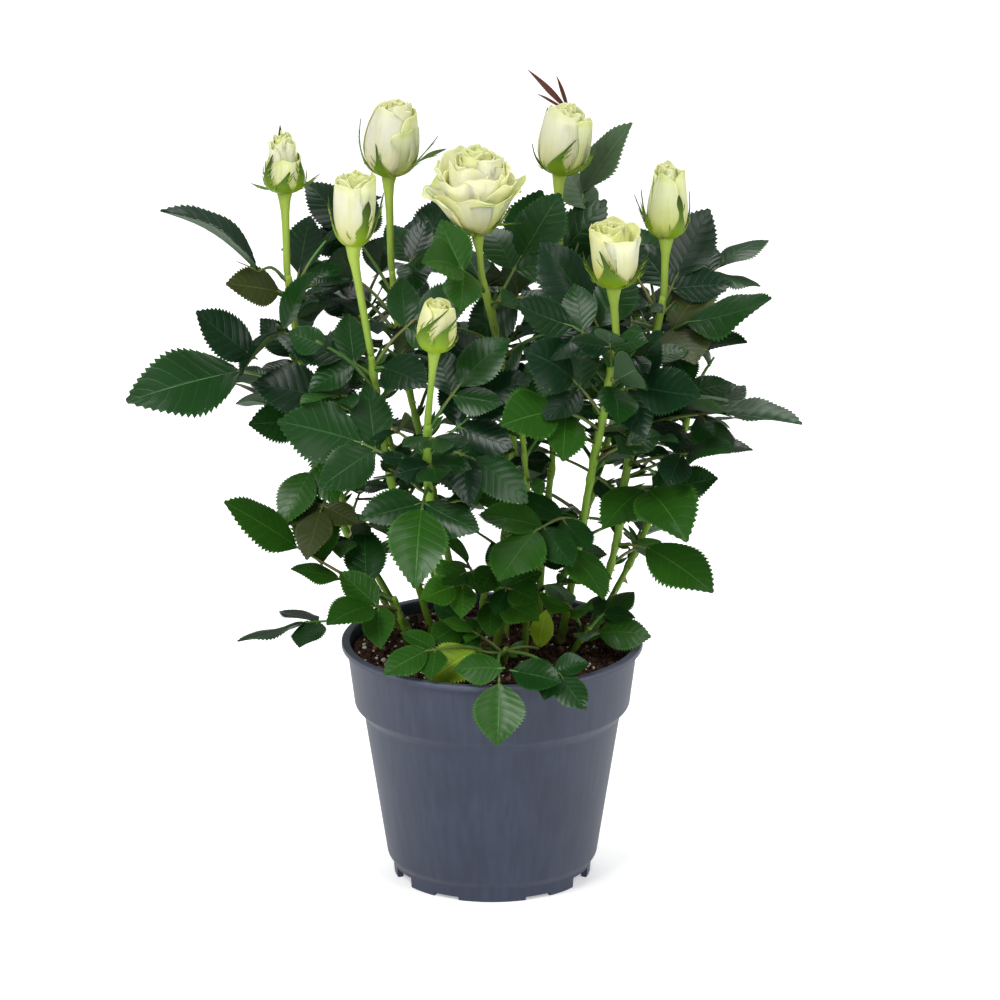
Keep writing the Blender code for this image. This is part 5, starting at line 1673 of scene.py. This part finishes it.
PETAL_TINTS = {  # foot, lower part, body, rim
    "cream": ("#9fb034", "#dfdc86", "#f4f5c2", "#d0da86"),
    "greenish": ("#8eac2c", "#c8d266", "#eaf0ac", "#b6ca56"),
    "white": ("#b0bc42", "#e6e296", "#f8f7ca", "#dae09a"),
    "yellow": ("#98aa2e", "#dad86e", "#f0f0a8", "#ccd478"),
}
petal_tint = {name: k for k, name in enumerate(PETAL_TINTS)}
print("petals with a set place:", sum(map(len, GUARDS.values())))

# %% [markdown]
# A petal runs up the rose's outline, from its foot over its belly to its rim, and round its axis.
# Small waves give it folds and a soft edge.

# %% Wrap a petal round a rose
SPIRAL = 0.05  # how much further out a petal's one edge lies than its other
FLUTES = 0.022  # how deep a petal's lengthwise folds are, in radii
CRUMPLE = 0.85  # how much of the ruffle shows as small waves along the rim


class Rose:
    """Where a rose stands and how large it is; places points given in its own upright frame."""

    def __init__(self, foot, top, radius, bowl, shoulder):
        self.foot, self.up = Vector(foot), (Vector(top) - Vector(foot)).normalized()
        self.long, self.radius = (Vector(top) - Vector(foot)).length, radius
        self.bowl, self.shoulder = bowl, shoulder
        self.turn = UP.rotation_difference(self.up)

    def skin(self, along, height, belly, rim):
        """Distance to the axis and height of a petal's middle, both in mm."""
        swell = belly * (0.5 + 0.85 * self.bowl)
        upper = belly * self.shoulder + rim * (1 - self.shoulder)
        widest = bend((0.14, swell, upper, rim), np.linspace(0, 1, 41)).max()
        out = bend((0.14, swell, upper, rim), along) * self.radius * max(belly, rim) / widest
        rises = (0.0, 0.1 - 0.07 * self.bowl, 0.5 + 0.1 * self.bowl, 1.0)
        return out, bend(rises, along) * height * self.long

    def place(self, out, angle, rise):
        """Points from distances to the axis, angles in radians from the front, and heights."""
        own = np.stack([out * np.sin(angle), -out * np.cos(angle), rise], -1)
        return turn_points(own, self.turn) + np.array(self.foot)


def bend(values, t):
    """A cubic Bezier through the first and last of four values."""
    a, b, c, d = values
    return a * (1 - t) ** 3 + 3 * b * t * (1 - t) ** 2 + 3 * c * t * t * (1 - t) + d * t ** 3


def lay_petal(pile, rose, row, ruffle, draw, shift=(0, 0)):
    """Wraps one petal round the rose and adds it to the pile."""
    facing, reach, height, belly, rim, roll, tint = row
    across, along = petal.points[:, 0], petal.points[:, 1]
    out, rise = rose.skin(along, height, belly, rim)
    curl = np.clip((along - 0.68) / 0.32, 0, 1)
    phase, fold_at = draw.uniform(0, 6.3), draw.uniform(0, 6.3)
    wave = np.sin(3.4 * across + phase) + CRUMPLE * np.sin(8.5 * across + 2.7 * phase)
    out *= 1 + SPIRAL * across
    out += rose.radius * (roll * curl ** 1.4 * (0.75 + 0.5 * across ** 2) + ruffle * along ** 3 * wave)
    out += rose.radius * FLUTES * np.sin(5.6 * across + fold_at + 1.2 * along) * np.sin(np.pi * along ** 0.8)
    rise -= rose.radius * roll * 1.2 * curl ** 2.4 * (0.7 + 0.6 * across ** 2)
    rise += rose.radius * ruffle * along ** 5 * (np.sin(5.3 * across + 2 * phase)
                                                 + CRUMPLE * np.sin(9.5 * across + fold_at))
    angle = math.radians(facing) + across * math.radians(reach)
    points = rose.place(out, angle, rise)
    lean = (along ** 1.5)[:, None] * np.array([(shift[0], shift[1], 0)])
    pile.add(petal, points + lean, petal_tint[tint])


print("petal folds are", FLUTES, "of a rose's half width deep")

# %% [markdown]
# The heart's petals turn by the golden angle from one to the next, and the set ones close round
# them. Solidify then gives the skins their thickness.

# %% Lay every petal
PETAL_THICK = 0.35
INNER = 0.6  # share of a heart's petals that are warmer, because light reaches them through others
roses = {name: Rose(*row) for name, row in ROSES.items()}
petals = Pile()
for name, rose in roses.items():
    draw = random.Random(f"{name} petals")
    count, belly, rim, low, high, ruffle, shift, tint = HEARTS[name]
    start_turn = draw.uniform(0, 360)
    for k in range(count):
        share = (k + 1) / count
        warm = "yellow" if share < INNER else tint
        row = (start_turn + GOLDEN * k, 165 - 85 * share, high - (high - low) * share ** 1.5,
               belly * (0.2 + 0.8 * share), rim * (0.12 + 0.88 * share ** 1.2),
               0.08 * share * draw.random(), warm)
        lay_petal(petals, rose, row, ruffle * (0.5 + 0.5 * share), draw, shift)
    for row in GUARDS[name]:
        lay_petal(petals, rose, row, ruffle * 0.8, draw)
petals = petals.make()
thicken(petals, PETAL_THICK)
print("petals:", sum(row[0] for row in HEARTS.values()) + sum(map(len, GUARDS.values())))

# %% [markdown]
# A cream petal is slightly see-through, and its foot keeps the green of the bud. So the map's
# length drives the colour from yellow-green over cream to a faintly green rim, and a little
# subsurface light softens the folds.

# %% Petal finishes
PETAL_ACROSS, PETAL_LONG = 30.0, 32.0  # mm, a petal laid flat
PETAL_VEIN = 1.2  # mm between the fine veins
STREAK_GAP, STREAK_LONG = 3.2, 22.0  # mm between greener streaks, and along one
TINGE = 9.0  # mm across a warmer patch


def petal_finish(name, foot, lower, body, rim):
    """A petal skin in four colours, with greener streaks and fine raised veins along it."""
    finish, add, shader, place = new_finish(
        name, Roughness=0.5, Specular_IOR_Level=0.3, Subsurface_Weight=0.5, Subsurface_Scale=0.004,
        Subsurface_Radius=(1.0, 0.95, 0.5))
    chart = add("UVMap", {}, uv_map="shape")["UV"]
    split = add("SeparateXYZ", {0: chart})
    clouds = add("TexNoise", {"Vector": place, "Scale": 1 / (TINGE * MM), "Detail": 2.0})["Fac"]
    shift = add("Math", {0: clouds, 1: 0.36, 2: -0.18}, operation="MULTIPLY_ADD")["Value"]
    along = add("Math", {0: split["Y"], 1: shift}, operation="ADD")["Value"]
    shades = add("ValToRGB", {"Fac": along}, ramp=((0.06, foot), (0.36, lower), (0.74, body)))["Color"]
    laid = add("Mapping", {"Vector": chart, "Scale": (PETAL_ACROSS / STREAK_GAP, PETAL_LONG / STREAK_LONG,
                                                      1)})["Vector"]
    drifted = add("VectorMath", {0: place, "Scale": 0.4 / (TINGE * MM)}, operation="SCALE")["Vector"]
    moved = add("VectorMath", {0: laid, 1: drifted}, operation="ADD")["Vector"]
    streaks = add("TexNoise", {"Vector": moved, "Scale": 1.0, "Detail": 2.0})["Fac"]
    green = add("MapRange", {"Value": streaks, "From Min": 0.5, "From Max": 0.72, "To Max": 0.5})["Result"]
    streaked = add("Mix", {"Factor": green, 6: shades, 7: linear(lower)}, data_type="RGBA")[2]
    middle = add("Math", {0: split["X"], 1: 0.5}, operation="SUBTRACT")["Value"]
    aside = add("Math", {0: middle}, operation="ABSOLUTE")["Value"]
    at_side = add("MapRange", {"Value": aside, "From Min": 0.43, "From Max": 0.5})["Result"]
    at_top = add("MapRange", {"Value": split["Y"], "From Min": 0.88})["Result"]
    edge = add("Math", {0: at_side, 1: at_top}, operation="MAXIMUM")["Value"]
    part = add("Math", {0: edge, 1: 0.8}, operation="MULTIPLY")["Value"]
    colour = add("Mix", {"Factor": part, 6: streaked, 7: linear(rim)}, data_type="RGBA")[2]
    ridges = add("Math", {0: split["X"], 1: 2 * math.pi * PETAL_ACROSS / PETAL_VEIN},
                 operation="MULTIPLY")["Value"]
    veins = add("Math", {0: ridges}, operation="SINE")["Value"]
    bump = add("Bump", {"Height": veins, "Strength": 0.15, "Distance": 0.0001})["Normal"]
    set_shader(shader, Base_Color=colour, Normal=bump)
    return finish


petal_finishes = [petal_finish(name + "_petal", *row) for name, row in PETAL_TINTS.items()]
finish_piece(petals, "petals", petal_finishes, ["rose_" + name for name in ROSES])

# %% [markdown]
# Narrow sepals hold each rose, with a long tail, hair-thin side lobes, and on some a small leaf at
# the end. Each is laid up the outside of its bloom, millimetre by millimetre, and what is longer
# than the bloom stands free.

# %% Sepal shapes
SEPAL_WIDTHS = {  # half widths from foot to tip, as shares of the widest
    "plain": (0.6, 0.86, 1.0, 1.0, 0.86, 0.6, 0.34, 0.18, 0.11, 0.08, 0.02),
    "leafy": (0.6, 0.86, 1.0, 0.98, 0.76, 0.44, 0.2, 0.17, 0.34, 0.24, 0.02),
    "big leaf": (0.6, 0.8, 0.7, 0.42, 0.2, 0.16, 0.5, 1.0, 0.95, 0.6, 0.02),
}


def sepal_width(kind, along):
    """Half width of a sepal at a share of its length."""
    widths = SEPAL_WIDTHS[kind]
    return np.interp(along, np.linspace(0, 1, len(widths)), widths)


sepal_shapes = {}
for kind, widths in SEPAL_WIDTHS.items():
    sepal = narrowed_grid(4, widths)
    bpy.ops.object.mode_set(mode="OBJECT")
    sepal_shapes[kind] = grid_shape(sepal, lambda along: sepal_width(kind, along))
print("sepal shapes:", ", ".join(sepal_shapes))

# %% [markdown]
# A row gives a sepal's place and bend. Side lobes are dealt out by seeded chance.

# %% Sepals of the eight roses
CALYX = {  # facing, length and half width in mm, angle its tail stands off, sweep at its tip, kind
    "far_left": (
        (-4, 19, 5.0, 0, 5.5), (-64, 23, 7.0, 0, 3.0), (62, 24, 7.0, 0, -1.0), (108, 15, 2.0, 52),
        (-104, 11, 1.8, 60), (-165, 33, 3.4, 0, 0, "leafy")),
    "left": (
        (30, 25, 7.6, 0, 1.5, "leafy"), (-82, 26, 3.8, 8), (102, 27, 4.0, 12, 0, "leafy"), (-140, 34, 3.4),
        (165, 22, 4.4, 10)),
    "rear_left": (
        (-22, 22, 4.4, 0, -2.0), (-86, 31, 3.2, 10), (76, 29, 4.0, 36), (100, 25, 3.4, 60, 0, "big leaf"),
        (180, 20, 4.2, 8)),
    "centre": (
        (-42, 12, 3.2, 6, -1.0), (66, 19, 3.4, 4), (100, 13, 1.6, 80), (-8, 9, 1.6, 70), (-120, 14, 3.0, 20),
        (175, 15, 3.0, 20)),
    "rear_right": (
        (-14, 24, 5.4, 0, 8.0), (58, 22, 5.2, 16, 2.0, "leafy"), (-98, 17, 3.4, 8),
        (-124, 33, 3.0, 2, 0, "leafy"), (175, 20, 4.2, 12)),
    "right": (
        (40, 25, 5.4, 0, -1.0, "leafy"), (-76, 27, 4.6, 16), (-96, 24, 2.4, 26), (98, 25, 3.4, 4),
        (175, 20, 4.2, 8)),
    "front_right": (
        (-8, 24, 8.0, 2, -5.0), (58, 15, 3.6, 6, 2.0), (88, 15, 3.4, 18), (112, 20, 2.6, 24),
        (-104, 20, 4.0, 10), (175, 18, 4.2, 8)),
    "front_left": (
        (-44, 25, 6.0, 0, 10.0), (16, 27, 4.8, 22, 11.0), (80, 14, 4.2, 4), (-130, 24, 3.4),
        (175, 20, 4.0, 8)),
}
LOBES = (0.34, 0.46, 0.58, 0.68)  # where a side lobe may stand
LOBELESS = 0.45  # share of these places that stay bare
TAIL_FROM = 0.42  # share of its length from which a sepal leaves the bloom
SWEEP_FROM = 0.5  # share from which it sweeps to one side
SEPAL_GAP = 0.5  # mm between a sepal and the bloom
SEPAL_THICK = 0.4

sepals, stalks = Pile(), Pile()


def lay_sepal(rose, skin, draw, facing, length, half, lean=0, sweep=0, kind="plain"):
    """Lays one sepal up the bloom's skin and adds it and its side lobes to the piles."""
    skin_out, skin_rise = skin
    climbed = np.concatenate([[0], np.cumsum(np.hypot(np.diff(skin_out), np.diff(skin_rise)))])
    aside, upright = math.sin(math.radians(lean)), math.cos(math.radians(lean))

    def on_sepal(across, along, lift=0.0):
        """Places on the sepal: mm to the side of its middle, and a share of its length."""
        far = along * length
        free = np.clip((along - TAIL_FROM) / (1 - TAIL_FROM), 0, 2) ** 1.3 * (1 - TAIL_FROM) * length
        swept = sweep * np.clip((along - SWEEP_FROM) / (1 - SWEEP_FROM), 0, 2) ** 1.3
        out = np.interp(far, climbed, skin_out) + SEPAL_GAP + lift + aside * free
        rise = np.interp(far, climbed, skin_rise) + np.maximum(far - climbed[-1], 0)
        rise -= (1 - upright) * free + 0.4
        angle = math.radians(facing) + (across + swept) / np.maximum(out, 3.0)
        return rose.place(out, angle, rise)

    shape = sepal_shapes[kind]
    across, along = shape.points[:, 0] * half, shape.points[:, 1]
    sepals.add(shape, on_sepal(across, along, -0.12 * np.abs(across)))
    for hand in (-1, 1):
        for place in LOBES:
            if draw.random() < LOBELESS:
                continue
            edge = hand * half * float(sepal_width(kind, place))
            long = draw.uniform(2, 5)
            marks = [Vector(on_sepal(np.array(edge * a + hand * b * long), np.array(place + c), d))
                     for a, b, c, d in ((0.8, 0, 0, 0), (1, 0.14, 0.07, 0.2), (1, 0.3, 0.17, 0.7))]
            lobe = Tube(smooth_line(marks, 4), (0.36, 0.3, 0.22, 0.14, 0.06), 4)
            stalks.add(lobe, lobe.points, 1)


for name, rose in roses.items():
    draw = random.Random(f"{name} calyx")
    guards = GUARDS[name][-3:]
    height, rim = (sum(row[k] for row in guards) / len(guards) for k in (2, 4))
    skin = rose.skin(np.linspace(0, 1, 33), height, 1.0 if name != "centre" else 0.76, rim)
    for row in CALYX[name]:
        lay_sepal(rose, skin, draw, *row)
sepals = sepals.make()
thicken(sepals, SEPAL_THICK)
print("sepals:", sum(map(len, CALYX.values())))

# %% [markdown]
# Under the sepals sits the hip, the stalk's swollen end. So one tube leads from the shoot up into
# each bloom and swells just below it.

# %% Hips and stalks
STALK = (1.1, 1.54, 1.56, 1.58, 1.6, 1.66, 1.86, 2.5)  # radii on the way up, mm
HIP = ((-1.6, 3.1), (0.2, 3.5), (1.6, 2.8), (2.6, 1.0))  # rise over the bloom's foot, radius

for name, rose in roses.items():
    low, ahead = lines[name][-1], (lines[name][-1] - lines[name][-2]).normalized()
    thin = 0.86 if name in ("front_left", "centre") else 1.0
    below = rose.foot - rose.up * 4.2
    way = smooth_line([low - ahead * 3, low + ahead * 1.5, low.lerp(below, 0.6), below], len(STALK) - 1)
    line = way + [rose.foot + rose.up * rise for rise, _ in HIP]
    radii = [*STALK[:3], *(thin * radius for radius in (*STALK[3:], *(wide for _, wide in HIP)))]
    tube = Tube(line, radii, 14)
    stalks.add(tube, tube.points, 0)

DOWN = 0.65  # mm between the fine hairs, drawn coarse enough to show
SEPAL_GREENS = ((0, "#97b326"), (0.3, "#7f9f1b"), (0.6, "#4f6e18"), (1, "#2a3c10"))

sepal_skin, add, shader, place = new_finish("sepal_green", Roughness=0.42, Specular_IOR_Level=0.22)
chart = add("UVMap", {}, uv_map="shape")["UV"]
split = add("SeparateXYZ", {0: chart})
greens = add("ValToRGB", {"Fac": split["Y"]}, ramp=SEPAL_GREENS)["Color"]
middle = add("Math", {0: split["X"], 1: 0.5}, operation="SUBTRACT")["Value"]
aside = add("Math", {0: middle}, operation="ABSOLUTE")["Value"]
hem = add("MapRange", {"Value": aside, "From Min": 0.36, "From Max": 0.5, "To Max": 0.6})["Result"]
low_down = add("MapRange", {"Value": split["Y"], "From Min": 0.3, "From Max": 0.6, "To Min": 1.0,
                            "To Max": 0.0})["Result"]
pale = add("Math", {0: hem, 1: low_down}, operation="MULTIPLY")["Value"]
hemmed = add("Mix", {"Factor": pale, 6: greens, 7: linear("#b3c26a")}, data_type="RGBA")[2]
down = add("TexNoise", {"Vector": place, "Scale": 1 / (DOWN * MM), "Detail": 2.0})["Fac"]
bump = add("Bump", {"Height": down, "Strength": 0.3, "Distance": 0.0001})["Normal"]
set_shader(shader, Base_Color=hemmed, Normal=bump)
finish_piece(sepals, "sepals", [sepal_skin])
finish_piece(stalks.make(), "rose_stalks", [cane_skin, sepal_skin])
